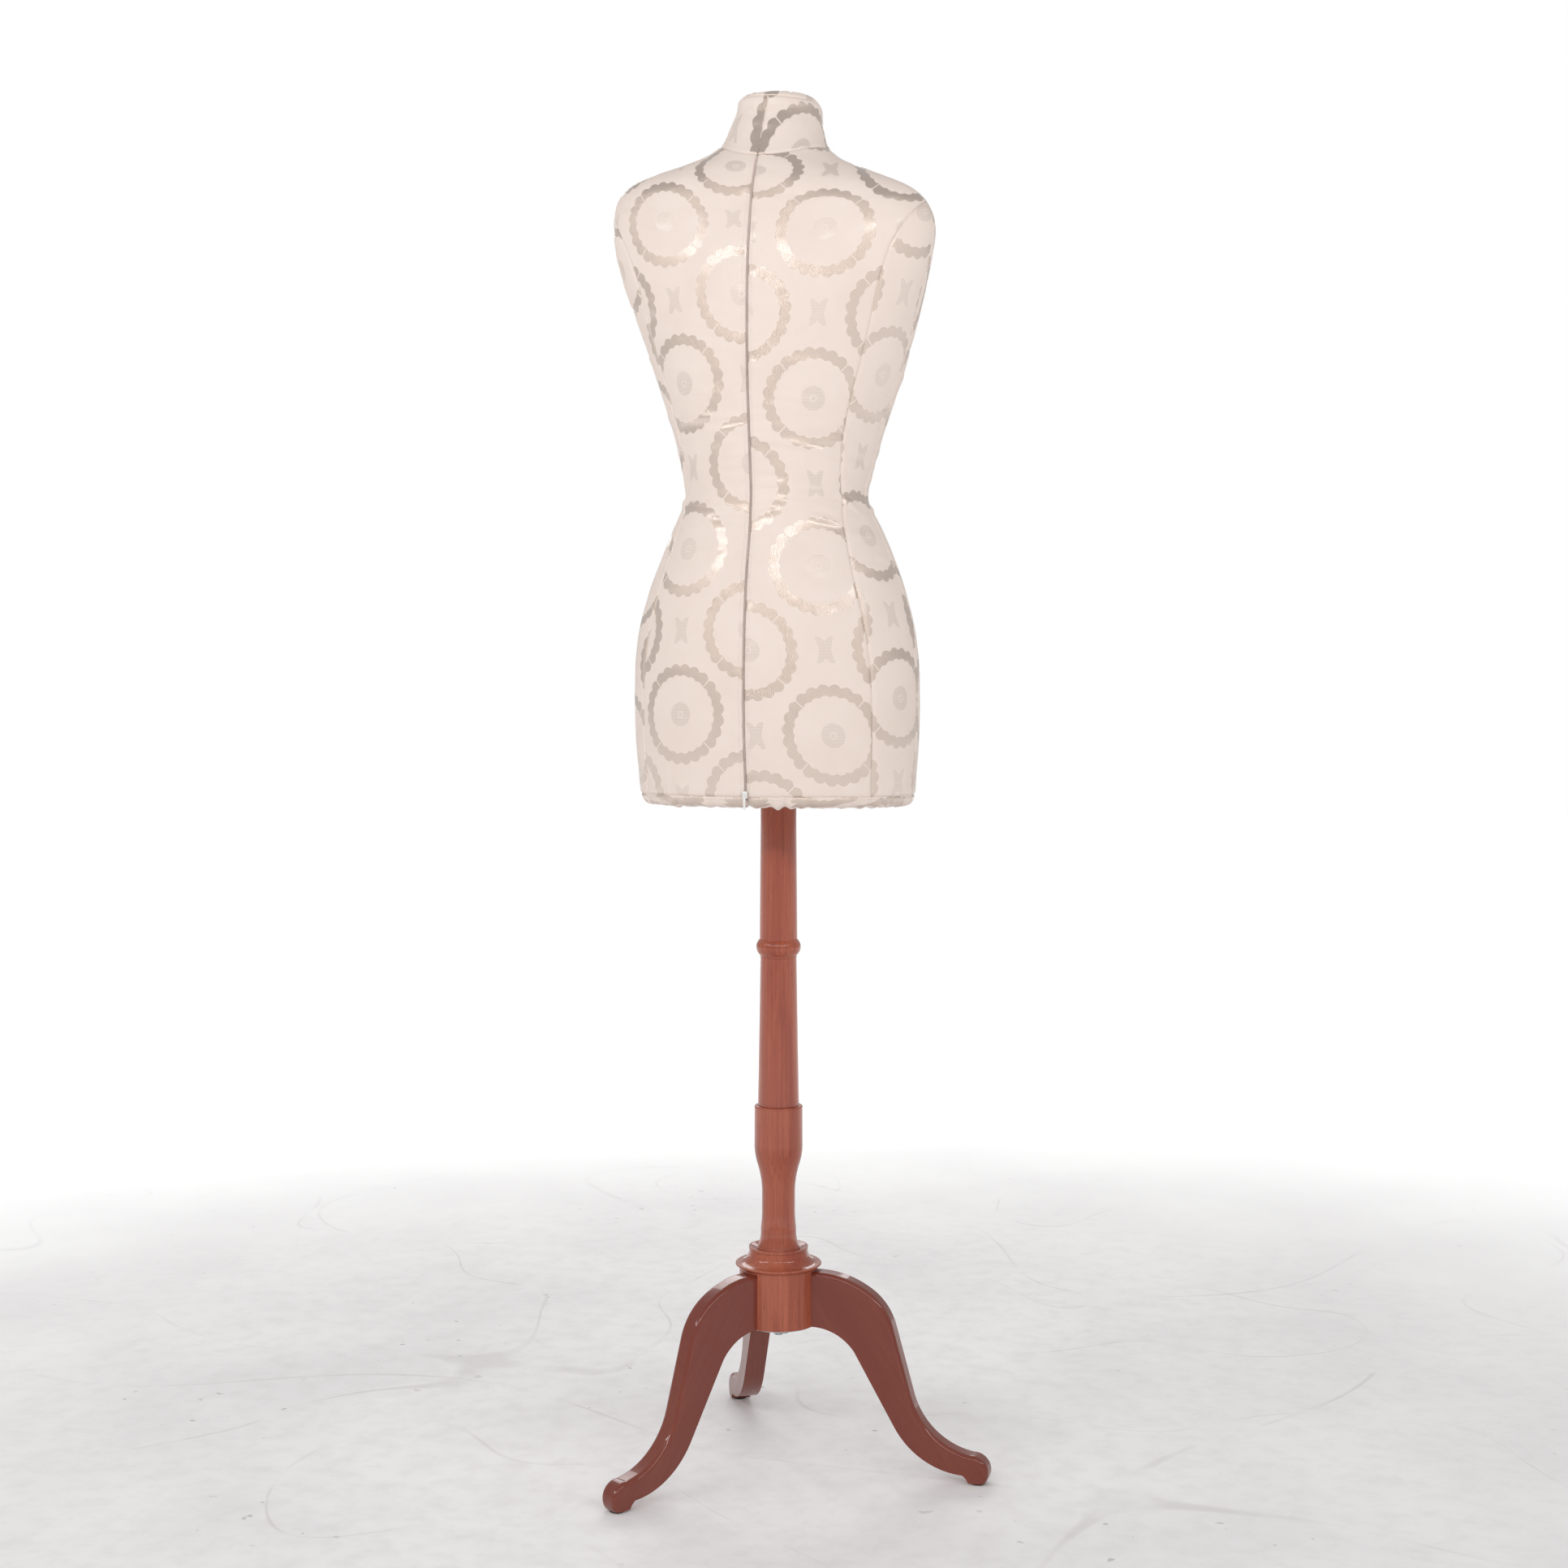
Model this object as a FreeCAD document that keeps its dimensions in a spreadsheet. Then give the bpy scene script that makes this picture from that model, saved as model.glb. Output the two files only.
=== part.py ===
"""Dress form on a turned tripod stand.

Row frame: millimetres, +Z up, origin on the floor under the column's axis.  The form faces -Y, so
the zip down the middle of its back lies at +Y.  The stand is turned and sawn wood held by steel
studs; the form is a foam body on a plywood base, dressed in a zipped slipcover cut in panels.
"""

import FreeCAD, Part
import math
import os

import Sketcher

Vector = FreeCAD.Vector
Rotation = FreeCAD.Rotation

doc = FreeCAD.newDocument("DressForm")

# ---------------------------------------------------------------------------------------------
# Driving dimensions, millimetres and degrees
# ---------------------------------------------------------------------------------------------

SIZES = {
    # hub: the drum that the three legs are dovetailed into
    "hub_radius": 45.0,
    "hub_bottom": 161.0,
    "hub_top": 224.6,
    "hub_bore_radius": 5.6,
    "leg_angle": 60.0,
    # legs, as an outline in the plane of the leg: reach from the axis and height above the floor
    "leg_thickness": 24.0,
    "leg_root": 42.0,
    "leg_root_top": 222.9,
    "leg_root_bottom": 161.0,
    "shoulder_reach": 110.8,
    "shoulder_height": 204.9,
    "knee_reach": 138.6,
    "knee_height": 166.6,
    "shin_reach": 159.6,
    "shin_height": 91.7,
    "instep_reach": 228.0,
    "instep_height": 32.4,
    "toe_reach": 247.0,
    "toe_height": 21.5,
    "tip_reach": 244.0,
    "sole_height": 2.5,
    "heel_reach": 226.0,
    "arch_reach": 219.0,
    "arch_height": 10.5,
    "calf_reach": 140.7,
    "calf_height": 56.8,
    "crook_reach": 93.6,
    "crook_height": 137.3,
    "shoulder_radius": 110.0,
    "knee_radius": 68.4,
    "instep_radius": 82.3,
    "toe_radius": 19.0,
    "tip_radius": 18.0,
    "heel_radius": 16.0,
    "arch_radius": 93.0,
    "crook_radius": 60.0,
    "leg_rounding": 5.5,
    # dovetail tongue on each leg and its slot in the hub
    "tongue_depth": 12.0,
    "tongue_neck": 11.0,
    "tongue_tail": 16.0,
    # felt pad under each foot
    "pad_reach": 235.0,
    "pad_radius": 8.0,
    "pad_thickness": 2.5,
    # steel plate under the hub and what holds it
    "plate_radius": 41.0,
    "plate_thickness": 2.0,
    "screw_head_radius": 3.6,
    "screw_head_height": 1.8,
    "screw_shank_radius": 1.7,
    "screw_length": 16.0,
    "screw_hole_radius": 1.75,
    "plate_screw_reach": 35.0,
    "bolt_radius": 5.0,
    "bolt_bore_radius": 5.05,
    "bolt_bottom": 146.0,
    "bolt_top": 300.0,
    "washer_radius": 13.0,
    "washer_thickness": 1.6,
    "nut_radius": 9.8,
    "nut_thickness": 8.0,
    # collar between hub and column
    "collar_top": 248.0,
    "collar_rim_radius": 34.0,
    "collar_rim_fall": 245.2,
    "collar_waist_radius": 33.0,
    "collar_belly_radius": 35.2,
    "collar_belly_height": 237.5,
    "collar_lip_radius": 47.8,
    "collar_lip_height": 229.8,
    "collar_disc_radius": 49.5,
    "collar_disc_height": 227.9,
    "collar_cove_radius": 13.0,
    "collar_nose_radius": 1.6,
    "collar_dish_radius": 32.2,
    "collar_dish_bottom": 245.0,
    "collar_recess_radius": 24.6,
    # lower column, a vase with a cup at its top
    "vase_foot_radius": 24.5,
    "vase_foot_height": 246.5,
    "vase_flare_radius": 20.4,
    "vase_flare_height": 269.0,
    "vase_stem_radius": 19.0,
    "vase_stem_bottom": 288.0,
    "vase_stem_top": 311.0,
    "vase_belly_radius": 24.0,
    "vase_belly_height": 342.0,
    "vase_cup_radius": 27.8,
    "vase_cup_bottom": 369.0,
    "vase_cup_shoulder": 407.2,
    "vase_cup_inset": 26.4,
    "vase_top": 410.0,
    "vase_foot_curve": 46.0,
    "vase_flare_curve": 150.0,
    "vase_stem_curve": 110.0,
    "vase_belly_curve": 75.0,
    "vase_lip_curve": 2.2,
    # middle column
    "middle_bottom_radius": 23.85,
    "middle_top_radius": 20.8,
    "middle_top": 580.5,
    # steel studs between column lengths
    "stud_radius": 4.0,
    "stud_bore_radius": 4.05,
    "stud_half_length": 30.0,
    "stud_low_half_length": 28.0,
    # upper post: bead, long taper, and the tenon that the form turns on
    "joint_radius": 21.2,
    "joint_top": 582.6,
    "bead_neck_radius": 22.6,
    "bead_bottom": 584.0,
    "bead_top": 600.0,
    "bead_curve": 11.7,
    "post_bottom_radius": 21.75,
    "post_taper_bottom": 601.5,
    "post_top_radius": 20.2,
    "post_top": 786.0,
    "tenon_radius": 19.0,
    "tenon_top": 944.0,
    "tenon_chamfer": 3.0,
    # nylon swivel bush over the tenon
    "bush_bottom": 790.0,
    "bush_bore_radius": 19.06,
    "bush_radius": 22.9,
    "bush_top": 949.0,
    # socket in the form
    "tube_bore_radius": 22.96,
    "tube_radius": 25.0,
    "tube_bottom": 763.0,
    "tube_top": 962.0,
    "flange_radius": 44.0,
    "flange_thickness": 2.5,
    "flange_screw_reach": 35.0,
    # form
    "base_bottom": 763.0,
    "base_thickness": 12.0,
    "base_inset": 6.5,
    "cover_thickness": 2.0,
    "tape_depth": 2.3,
    "tape_thickness": 0.5,
    "foam_depth": 3.2,
    "hem_line": 769.0,
    "cap_line": 1563.0,
    "neck_block_radius": 30.0,
    "neck_block_bottom": 1500.0,
    "neck_block_top": 1550.0,
    "neck_block_lean": -6.0,
    "glue_gap": 0.1,
    "zip_gap": 3.0,
    "zip_coil_width": 2.4,
    "zip_coil_depth": 0.8,
    "zip_tape_reach": 12.0,
    "zip_bottom": 757.0,
    "zip_tail_top": 772.0,
    "zip_tail_depth": 1.2,
    "tape_bottom": 768.0,
    "zip_top": 1484.0,
    "hip_arc_radius": 812.0,
    "hip_arc_height": 888.0,
    "hip_back": 126.0,
    "slider_width": 5.4,
    "slider_height": 8.0,
    "slider_thickness": 2.2,
    "slider_clearance": 0.5,
    "slider_angle": -8.2,
    "slider_rib_width": 1.6,
    "slider_rib_depth": 0.8,
    "slider_pin_drop": 1.0,
    "slider_pin_stand": 1.9,
    "cheek_thickness": 0.8,
    "cheek_height": 3.0,
    "pin_radius": 0.6,
    "pull_width": 2.4,
    "pull_length": 15.0,
    "pull_thickness": 1.0,
    "pull_eye_radius": 1.4,
    "pull_bore_radius": 0.66,
    "elastic_top": 766.0,
}

# Cross-sections of the form from the hem up to the waist and on to the neck.  Each row is
#   name, height at the sides, at the back and at the front, half width,
#   where the widest line lies (Y), how far back (Y), how far forward (Y), squareness
# Squareness is the exponent of the superellipse: 2 is an ellipse, more is boxier.
SECTIONS = (
    ("hem_curl", 757.0, 757.0, 757.0, 146.5, 6.0, 103.0, -92.0, 2.10),
    ("hem_edge", 759.6, 759.6, 759.6, 155.0, 6.0, 111.6, -100.5, 2.12),
    ("hem", 766.5, 766.5, 766.5, 159.0, 6.0, 116.0, -104.3, 2.14),
    ("seat_low", 785.0, 785.0, 785.0, 161.6, 6.5, 119.4, -106.8, 2.16),
    ("seat", 835.0, 835.0, 835.0, 165.0, 7.0, 124.3, -108.2, 2.18),
    ("hip", 885.0, 885.0, 885.0, 166.0, 8.0, 126.0, -107.5, 2.18),
    ("hip_high", 935.0, 935.0, 935.0, 163.8, 8.5, 124.6, -104.5, 2.16),
    ("belly", 980.0, 980.0, 980.0, 155.4, 7.0, 120.8, -99.0, 2.14),
    ("belly_high", 1020.0, 1020.0, 1020.0, 143.2, 4.0, 114.6, -93.0, 2.12),
    ("flank", 1055.0, 1055.0, 1055.0, 129.0, 2.0, 107.2, -87.5, 2.10),
    ("waist_low", 1084.0, 1084.0, 1084.0, 115.0, 4.0, 102.0, -83.8, 2.10),
    ("waist", 1105.0, 1105.0, 1105.0, 105.8, 6.0, 100.2, -82.4, 2.10),
    ("waist_high", 1128.0, 1128.0, 1128.0, 108.0, 3.0, 101.8, -83.2, 2.10),
    ("ribs", 1170.0, 1170.0, 1170.0, 118.4, -3.0, 106.6, -87.6, 2.12),
    ("ribs_high", 1215.0, 1215.0, 1215.0, 132.6, -6.0, 111.4, -95.5, 2.14),
    ("bust_low", 1255.0, 1255.0, 1255.0, 146.4, -5.0, 114.0, -104.0, 2.16),
    ("bust", 1300.0, 1300.0, 1300.0, 161.0, 3.0, 114.9, -107.0, 2.16),
    ("chest", 1345.0, 1345.0, 1345.0, 176.2, 14.0, 113.4, -101.0, 2.14),
    ("armhole", 1385.0, 1385.0, 1382.0, 187.0, 23.0, 109.6, -93.5, 2.10),
    ("armhole_high", 1416.0, 1412.0, 1404.0, 190.6, 27.0, 104.6, -87.0, 2.06),
    ("shoulder", 1438.0, 1430.0, 1419.0, 186.6, 27.0, 100.6, -82.0, 2.02),
    ("shoulder_high", 1453.0, 1443.0, 1428.0, 177.0, 26.0, 97.2, -78.2, 2.00),
    ("shoulder_top", 1463.5, 1453.0, 1435.0, 162.0, 24.0, 94.0, -75.0, 2.00),
    ("yoke", 1475.5, 1463.0, 1441.0, 132.0, 19.5, 90.0, -71.5, 2.00),
    ("yoke_high", 1487.0, 1473.0, 1446.0, 101.0, 15.0, 85.6, -68.0, 2.00),
    ("collar_line", 1498.0, 1481.0, 1450.0, 77.0, 11.0, 81.2, -65.0, 2.00),
    ("neck_base", 1509.0, 1488.0, 1454.0, 63.8, 8.0, 76.8, -62.8, 2.00),
    ("neck_low", 1523.0, 1506.0, 1476.0, 56.6, 4.0, 66.6, -62.6, 2.00),
    ("neck", 1539.0, 1530.0, 1509.0, 51.6, -1.0, 56.4, -62.2, 2.00),
    ("neck_high", 1555.0, 1550.0, 1539.0, 48.6, -6.0, 48.4, -61.4, 2.00),
    ("neck_rim", 1564.0, 1562.5, 1559.0, 46.6, -8.0, 44.2, -60.0, 2.00),
    ("neck_top", 1568.0, 1568.0, 1568.0, 40.0, -8.5, 37.0, -53.5, 2.00),
)
# The form's right shoulder sits lower than its left: a slant that grows from the armholes upwards.
SHOULDER_SLANT = 0.075
SLANT_START = 1370.0
SLANT_FULL = 1450.0
SLANT_END = 1568.0
BUST_HEIGHT = 1286.0
BUST_SPACING = 76.0
BUST_FULLNESS = 17.0
BUST_SPREAD = 40.0
BUST_RISE = 56.0
AROUND = 40

# The side and shoulder seams, as (Y, Z); the princess seams, as (distance from the middle, Z).
SIDE_SEAM = ((6.0, 740.0), (8.0, 885.0), (6.0, 1105.0), (-4.0, 1215.0), (3.0, 1300.0), (23.0, 1385.0),
             (27.0, 1430.0), (24.0, 1463.5), (8.0, 1509.0), (8.0, 1600.0))
BACK_SEAM = ((130.0, 740.0), (135.0, 860.0), (131.0, 932.0), (101.0, 1059.0), (92.0, 1114.0),
             (102.0, 1194.0), (124.0, 1272.0), (141.0, 1338.0), (154.0, 1378.0), (168.0, 1405.0),
             (184.0, 1432.0), (200.0, 1465.0))
FRONT_SEAM = ((92.0, 740.0), (94.0, 885.0), (78.0, 1040.0), (62.0, 1110.0), (72.0, 1220.0), (78.0, 1290.0),
              (88.0, 1380.0), (100.0, 1500.0))

# ---------------------------------------------------------------------------------------------
# The sheet that the features are bound to
# ---------------------------------------------------------------------------------------------

sheet = doc.addObject("Spreadsheet::Sheet", "Sizes")
for row, (alias, number) in enumerate(SIZES.items(), start=1):
    sheet.set(f"A{row}", alias)
    sheet.set(f"B{row}", str(number))
    sheet.setAlias(f"B{row}", alias)
doc.recompute()


def size(alias):
    """A driving dimension, read back from the sheet."""
    return float(getattr(sheet, alias))


def bound(alias):
    """The expression that ties a property to a cell."""
    return f"Sizes.{alias}"


PIECES = []


def keep(piece, name):
    """Name a finished sub-part and list it for export."""
    piece.Label = name
    PIECES.append(piece)
    return piece


# ---------------------------------------------------------------------------------------------
# Sketch helpers
# ---------------------------------------------------------------------------------------------

ORIGIN = -1
FIRST_POINT = 1
SECOND_POINT = 2
VERTICAL_AXIS = -2
HORIZONTAL_AXIS = -1


def new_body(name):
    """A PartDesign body and its origin planes by role."""
    body = doc.addObject("PartDesign::Body", name)
    planes = {plane.Role: plane for plane in body.Origin.OriginFeatures}
    return body, planes


def new_sketch(body, plane, name):
    """An empty sketch flat on one of the body's own origin planes."""
    sketch = body.newObject("Sketcher::SketchObject", name)
    sketch.AttachmentSupport = [(plane, "")]
    sketch.MapMode = "FlatFace"
    return sketch


def arc_between(start, end, radius):
    """The short arc from start to end.  A positive radius bulges to the right of the run."""
    middle = (start + end) * 0.5
    run = end - start
    half = run.Length * 0.5
    rise = math.sqrt(radius * radius - half * half)
    left = Vector(-run.y, run.x, 0).normalize()
    centre = middle + left * math.copysign(rise, radius)
    circle = Part.Circle(centre, Vector(0, 0, 1), abs(radius))
    first = math.atan2(start.y - centre.y, start.x - centre.x)
    last = math.atan2(end.y - centre.y, end.x - centre.x)
    if radius > 0:
        return Part.ArcOfCircle(circle, first, last), FIRST_POINT, SECOND_POINT
    return Part.ArcOfCircle(circle, last, first), SECOND_POINT, FIRST_POINT


def constrain(sketch, kind, numbers, alias):
    """Add one dimension to a sketch and tie it to its cell."""
    index = sketch.addConstraint(Sketcher.Constraint(kind, *numbers, size(alias)))
    sketch.setExpression(f"Constraints[{index}]", bound(alias))


def draw_outline(sketch, corners):
    """Close an outline through corners, each (across, up) or (across, up, radius, side).

    across and up are cell names, or 0 for a corner on the axis.  radius, a cell name, bends the run
    that leaves the corner, and side is 1 to bulge right of the run and -1 to bulge left of it.
    """
    places = [Vector(*(size(part) if part else 0.0 for part in corner[:2]), 0) for corner in corners]
    runs = []
    for index, corner in enumerate(corners):
        start = places[index]
        end = places[(index + 1) % len(places)]
        if len(corner) == 4:
            curve, first, last = arc_between(start, end, corner[3] * size(corner[2]))
        else:
            curve, first, last = Part.LineSegment(start, end), FIRST_POINT, SECOND_POINT
        runs.append((sketch.addGeometry(curve), first, last))
    for index, corner in enumerate(corners):
        line, first, last = runs[index]
        following, next_first, _ = runs[(index + 1) % len(runs)]
        sketch.addConstraint(Sketcher.Constraint("Coincident", line, last, following, next_first))
        if corner[0]:
            constrain(sketch, "DistanceX", (ORIGIN, 1, line, first), corner[0])
        else:
            sketch.addConstraint(Sketcher.Constraint("PointOnObject", line, first, VERTICAL_AXIS))
        if corner[1]:
            constrain(sketch, "DistanceY", (ORIGIN, 1, line, first), corner[1])
        else:
            sketch.addConstraint(Sketcher.Constraint("PointOnObject", line, first, HORIZONTAL_AXIS))
        if len(corner) == 4:
            constrain(sketch, "Radius", (line,), corner[2])


def turned(name, corners):
    """A piece turned on the column's axis from its half profile (radius, height)."""
    body, planes = new_body(name)
    sketch = new_sketch(body, planes["XZ_Plane"], f"{name}_profile")
    draw_outline(sketch, corners)
    solid = body.newObject("PartDesign::Revolution", f"{name}_turning")
    solid.Profile = sketch
    solid.ReferenceAxis = (sketch, ["V_Axis"])
    solid.Angle = 360.0
    return body


def ring_corners(inner, outer, bottom, top):
    """The rectangle that turns into a plain ring or, with inner 0, a plain disc."""
    return ((inner, bottom), (outer, bottom), (outer, top), (inner, top))


def bored(name, blank, radius, bottom, top):
    """The blank with a straight bore along the column's axis, as a Part cut."""
    drill = doc.addObject("Part::Cylinder", f"{name}_bore")
    drill.setExpression("Radius", bound(radius))
    drill.setExpression("Height", f"Sizes.{top} - Sizes.{bottom}")
    drill.setExpression("Placement.Base.z", bound(bottom))
    cut = doc.addObject("Part::Cut", name)
    cut.Base = blank
    cut.Tool = drill
    return cut


# ---------------------------------------------------------------------------------------------
# Screws
# ---------------------------------------------------------------------------------------------

PILOT_SLACK = 1.0
PLATE_SCREWS = 3
PLATE_SCREW_TURN = 0.0
FLANGE_SCREWS = 4
FLANGE_SCREW_TURN = 45.0


def screw_shape(seat):
    """A pan-head wood screw driven upwards, with the underside of its head at the height seat."""
    head = Part.makeCylinder(size("screw_head_radius"), size("screw_head_height"),
                             Vector(0, 0, seat - size("screw_head_height")))
    shank = Part.makeCylinder(size("screw_shank_radius"), size("screw_length"), Vector(0, 0, seat))
    return head.fuse(shank).removeSplitter()


def screw_circle(name, seat, reach, count, first_turn):
    """A circle of screws, kept together as one group of separate solids."""
    screw = screw_shape(seat)
    ring = []
    for index in range(count):
        copy = screw.copy()
        copy.translate(Vector(reach, 0, 0))
        copy.rotate(Vector(0, 0, 0), Vector(0, 0, 1), first_turn + index * 360.0 / count)
        ring.append(copy)
    group = doc.addObject("Part::Feature", name)
    group.Shape = Part.makeCompound(ring)
    return group


def screw_pilots(seat, reach, count, first_turn):
    """The holes that a circle of screws makes in the wood above its seat."""
    holes = []
    for index in range(count):
        pilot = Part.makeCylinder(size("screw_hole_radius"), size("screw_length") + PILOT_SLACK,
                                  Vector(reach, 0, seat))
        pilot.rotate(Vector(0, 0, 0), Vector(0, 0, 1), first_turn + index * 360.0 / count)
        holes.append(pilot)
    return Part.makeCompound(holes)


def with_pilots(name, blank, seat, reach, count, first_turn):
    """The blank with a circle of blind screw holes in its underside."""
    pilots = doc.addObject("Part::Feature", f"{name}_pilots")
    pilots.Shape = screw_pilots(size(seat), size(reach), count, first_turn)
    cut = doc.addObject("Part::Cut", f"{name}_drilled")
    cut.Base = blank
    cut.Tool = pilots
    return cut


# ---------------------------------------------------------------------------------------------
# Hub, collar and legs
# ---------------------------------------------------------------------------------------------

BORE_SLACK = 1.0
CUTTER_OVERRUN = 5.0


def derive(alias, number):
    """Add a dimension that is worked out from others to the sheet."""
    row = len(SIZES) + 1
    SIZES[alias] = number
    sheet.set(f"A{row}", alias)
    sheet.set(f"B{row}", str(round(number, 4)))
    sheet.setAlias(f"B{row}", alias)


derive("tongue_inner", SIZES["leg_root"] - SIZES["tongue_depth"])
derive("tongue_neck_half", SIZES["tongue_neck"] / 2)
derive("tongue_tail_half", SIZES["tongue_tail"] / 2)
derive("leg_half", SIZES["leg_thickness"] / 2)
derive("slot_height", SIZES["leg_root_top"] - SIZES["hub_bottom"])
derive("slot_mouth", SIZES["hub_radius"] + CUTTER_OVERRUN)
derive("plate_bottom", SIZES["hub_bottom"] - SIZES["plate_thickness"])
derive("washer_bottom", SIZES["hub_bottom"] - SIZES["plate_thickness"] - SIZES["washer_thickness"])
derive("nut_bottom", SIZES["washer_bottom"] - SIZES["nut_thickness"])
derive("low_stud_bottom", SIZES["vase_top"] - SIZES["stud_low_half_length"])
derive("low_stud_top", SIZES["vase_top"] + SIZES["stud_half_length"])
derive("low_bore_bottom", SIZES["low_stud_bottom"] - BORE_SLACK)
derive("low_bore_top", SIZES["low_stud_top"] + BORE_SLACK)
derive("high_stud_bottom", SIZES["middle_top"] - SIZES["stud_half_length"])
derive("high_stud_top", SIZES["middle_top"] + SIZES["stud_half_length"])
derive("high_bore_bottom", SIZES["high_stud_bottom"] - BORE_SLACK)
derive("high_bore_top", SIZES["high_stud_top"] + BORE_SLACK)
derive("bolt_bore_top", SIZES["bolt_top"] + BORE_SLACK)
derive("tenon_bevel_radius", SIZES["tenon_radius"] - SIZES["tenon_chamfer"])
derive("tenon_bevel_height", SIZES["tenon_top"] - SIZES["tenon_chamfer"])
derive("neck_top_of_zip", SIZES["zip_top"] + 2.0)
derive("base_top", SIZES["base_bottom"] + SIZES["base_thickness"])
derive("flange_bottom", SIZES["base_bottom"] - SIZES["flange_thickness"])
doc.recompute()


def draw_tongue(sketch):
    """The dovetail in plan: narrow at the hub's skin and wide towards the axis, with the seat for
    the leg's full thickness outside it."""
    corners = (("tongue_inner", 1, "tongue_tail_half"), ("leg_root", 1, "tongue_neck_half"),
               ("leg_root", 1, "leg_half"), ("slot_mouth", 1, "leg_half"),
               ("slot_mouth", -1, "leg_half"), ("leg_root", -1, "leg_half"),
               ("leg_root", -1, "tongue_neck_half"), ("tongue_inner", -1, "tongue_tail_half"))
    draw_symmetric(sketch, corners)


def draw_symmetric(sketch, corners):
    """Close a straight-sided outline about the horizontal axis.  Each corner is (reach, side,
    half width), with reach and half width as cell names."""
    places = [Vector(size(reach), side * size(half), 0) for reach, side, half in corners]
    lines = []
    for index, start in enumerate(places):
        lines.append(sketch.addGeometry(Part.LineSegment(start, places[(index + 1) % len(places)])))
    for index, (reach, side, half) in enumerate(corners):
        line = lines[index]
        following = lines[(index + 1) % len(lines)]
        sketch.addConstraint(Sketcher.Constraint("Coincident", line, SECOND_POINT, following, FIRST_POINT))
        constrain(sketch, "DistanceX", (ORIGIN, 1, line, FIRST_POINT), reach)
        if side > 0:
            constrain(sketch, "DistanceY", (ORIGIN, 1, line, FIRST_POINT), half)
        else:
            constrain(sketch, "DistanceY", (line, FIRST_POINT, ORIGIN, 1), half)


def make_hub():
    """A drum with a centre bore and three dovetail slots open at its underside."""
    body = turned("hub_drum", ring_corners("hub_bore_radius", "hub_radius", "hub_bottom", "hub_top"))
    plane = [part for part in body.Origin.OriginFeatures if part.Role == "XY_Plane"][0]
    slot = new_sketch(body, plane, "hub_slot_plan")
    slot.setExpression("AttachmentOffset.Base.z", bound("hub_bottom"))
    draw_tongue(slot)
    doc.recompute()
    pocket = body.newObject("PartDesign::Pocket", "hub_slot")
    pocket.Profile = slot
    pocket.setExpression("Length", bound("slot_height"))
    pocket.Reversed = True
    ring = body.newObject("PartDesign::PolarPattern", "hub_slots")
    ring.Originals = [pocket]
    ring.Axis = (slot, ["N_Axis"])
    ring.Angle = 360.0
    ring.Occurrences = 3
    body.Tip = ring
    body.setExpression("Placement.Rotation.Angle", bound("leg_angle"))
    return body


def edges_near(shape, marks, depth):
    """Names of the edges whose middles lie on one of the marks in plan, at the given depth."""
    found = []
    for index, edge in enumerate(shape.Edges, start=1):
        middle = edge.valueAt((edge.FirstParameter + edge.LastParameter) / 2)
        for mark in marks:
            if abs(abs(middle.y) - depth) < 0.05 and math.hypot(middle.x - mark.x, middle.z - mark.z) < 0.6:
                found.append(f"Edge{index}")
                break
    return found


def make_leg(name, turn):
    """A sawn S-curved leg, rounded along its back and over its toe, with a dovetail tongue."""
    body, planes = new_body(name)
    outline = new_sketch(body, planes["XZ_Plane"], f"{name}_outline")
    draw_outline(outline, (
        ("leg_root", "leg_root_bottom", "crook_radius", -1),
        ("crook_reach", "crook_height"),
        ("calf_reach", "calf_height", "arch_radius", 1),
        ("arch_reach", "arch_height", "heel_radius", -1),
        ("heel_reach", "sole_height"),
        ("tip_reach", "sole_height", "tip_radius", 1),
        ("toe_reach", "toe_height", "toe_radius", 1),
        ("instep_reach", "instep_height", "instep_radius", -1),
        ("shin_reach", "shin_height"),
        ("knee_reach", "knee_height", "knee_radius", 1),
        ("shoulder_reach", "shoulder_height", "shoulder_radius", 1),
        ("leg_root", "leg_root_top"),
    ))
    blank = body.newObject("PartDesign::Pad", f"{name}_blank")
    blank.Profile = outline
    blank.setExpression("Length", bound("leg_thickness"))
    blank.SideType = "Symmetric"
    plan = new_sketch(body, planes["XY_Plane"], f"{name}_tongue_plan")
    plan.setExpression("AttachmentOffset.Base.z", bound("hub_bottom"))
    draw_symmetric(plan, (("tongue_inner", 1, "tongue_tail_half"), ("leg_root", 1, "tongue_neck_half"),
                          ("leg_root", -1, "tongue_neck_half"), ("tongue_inner", -1, "tongue_tail_half")))
    tongue = body.newObject("PartDesign::Pad", f"{name}_tongue")
    tongue.Profile = plan
    tongue.setExpression("Length", bound("slot_height"))
    body.Tip = tongue
    doc.recompute()
    upper = [curve_middle(outline.Geometry[index]) for index in range(5, 11)]
    rounded = body.newObject("PartDesign::Fillet", f"{name}_rounding")
    rounded.Base = (tongue, edges_near(tongue.Shape, upper, size("leg_half")))
    rounded.setExpression("Radius", bound("leg_rounding"))
    body.Tip = rounded
    body.setExpression("Placement.Rotation.Angle", f"Sizes.leg_angle + {turn}")
    return body


def curve_middle(curve):
    """The middle of a sketch curve in the plane of the leg, as (reach, 0, height)."""
    middle = curve.value((curve.FirstParameter + curve.LastParameter) / 2)
    return Vector(middle.x, 0, middle.y)


LEG_TURNS = {"leg_left": 0, "leg_right": 120, "leg_front": 240}

keep(with_pilots("hub", make_hub(), "hub_bottom", "plate_screw_reach",
                 PLATE_SCREWS, PLATE_SCREW_TURN), "hub")
for leg_name, leg_turn in LEG_TURNS.items():
    keep(make_leg(leg_name, leg_turn), leg_name)


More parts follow.
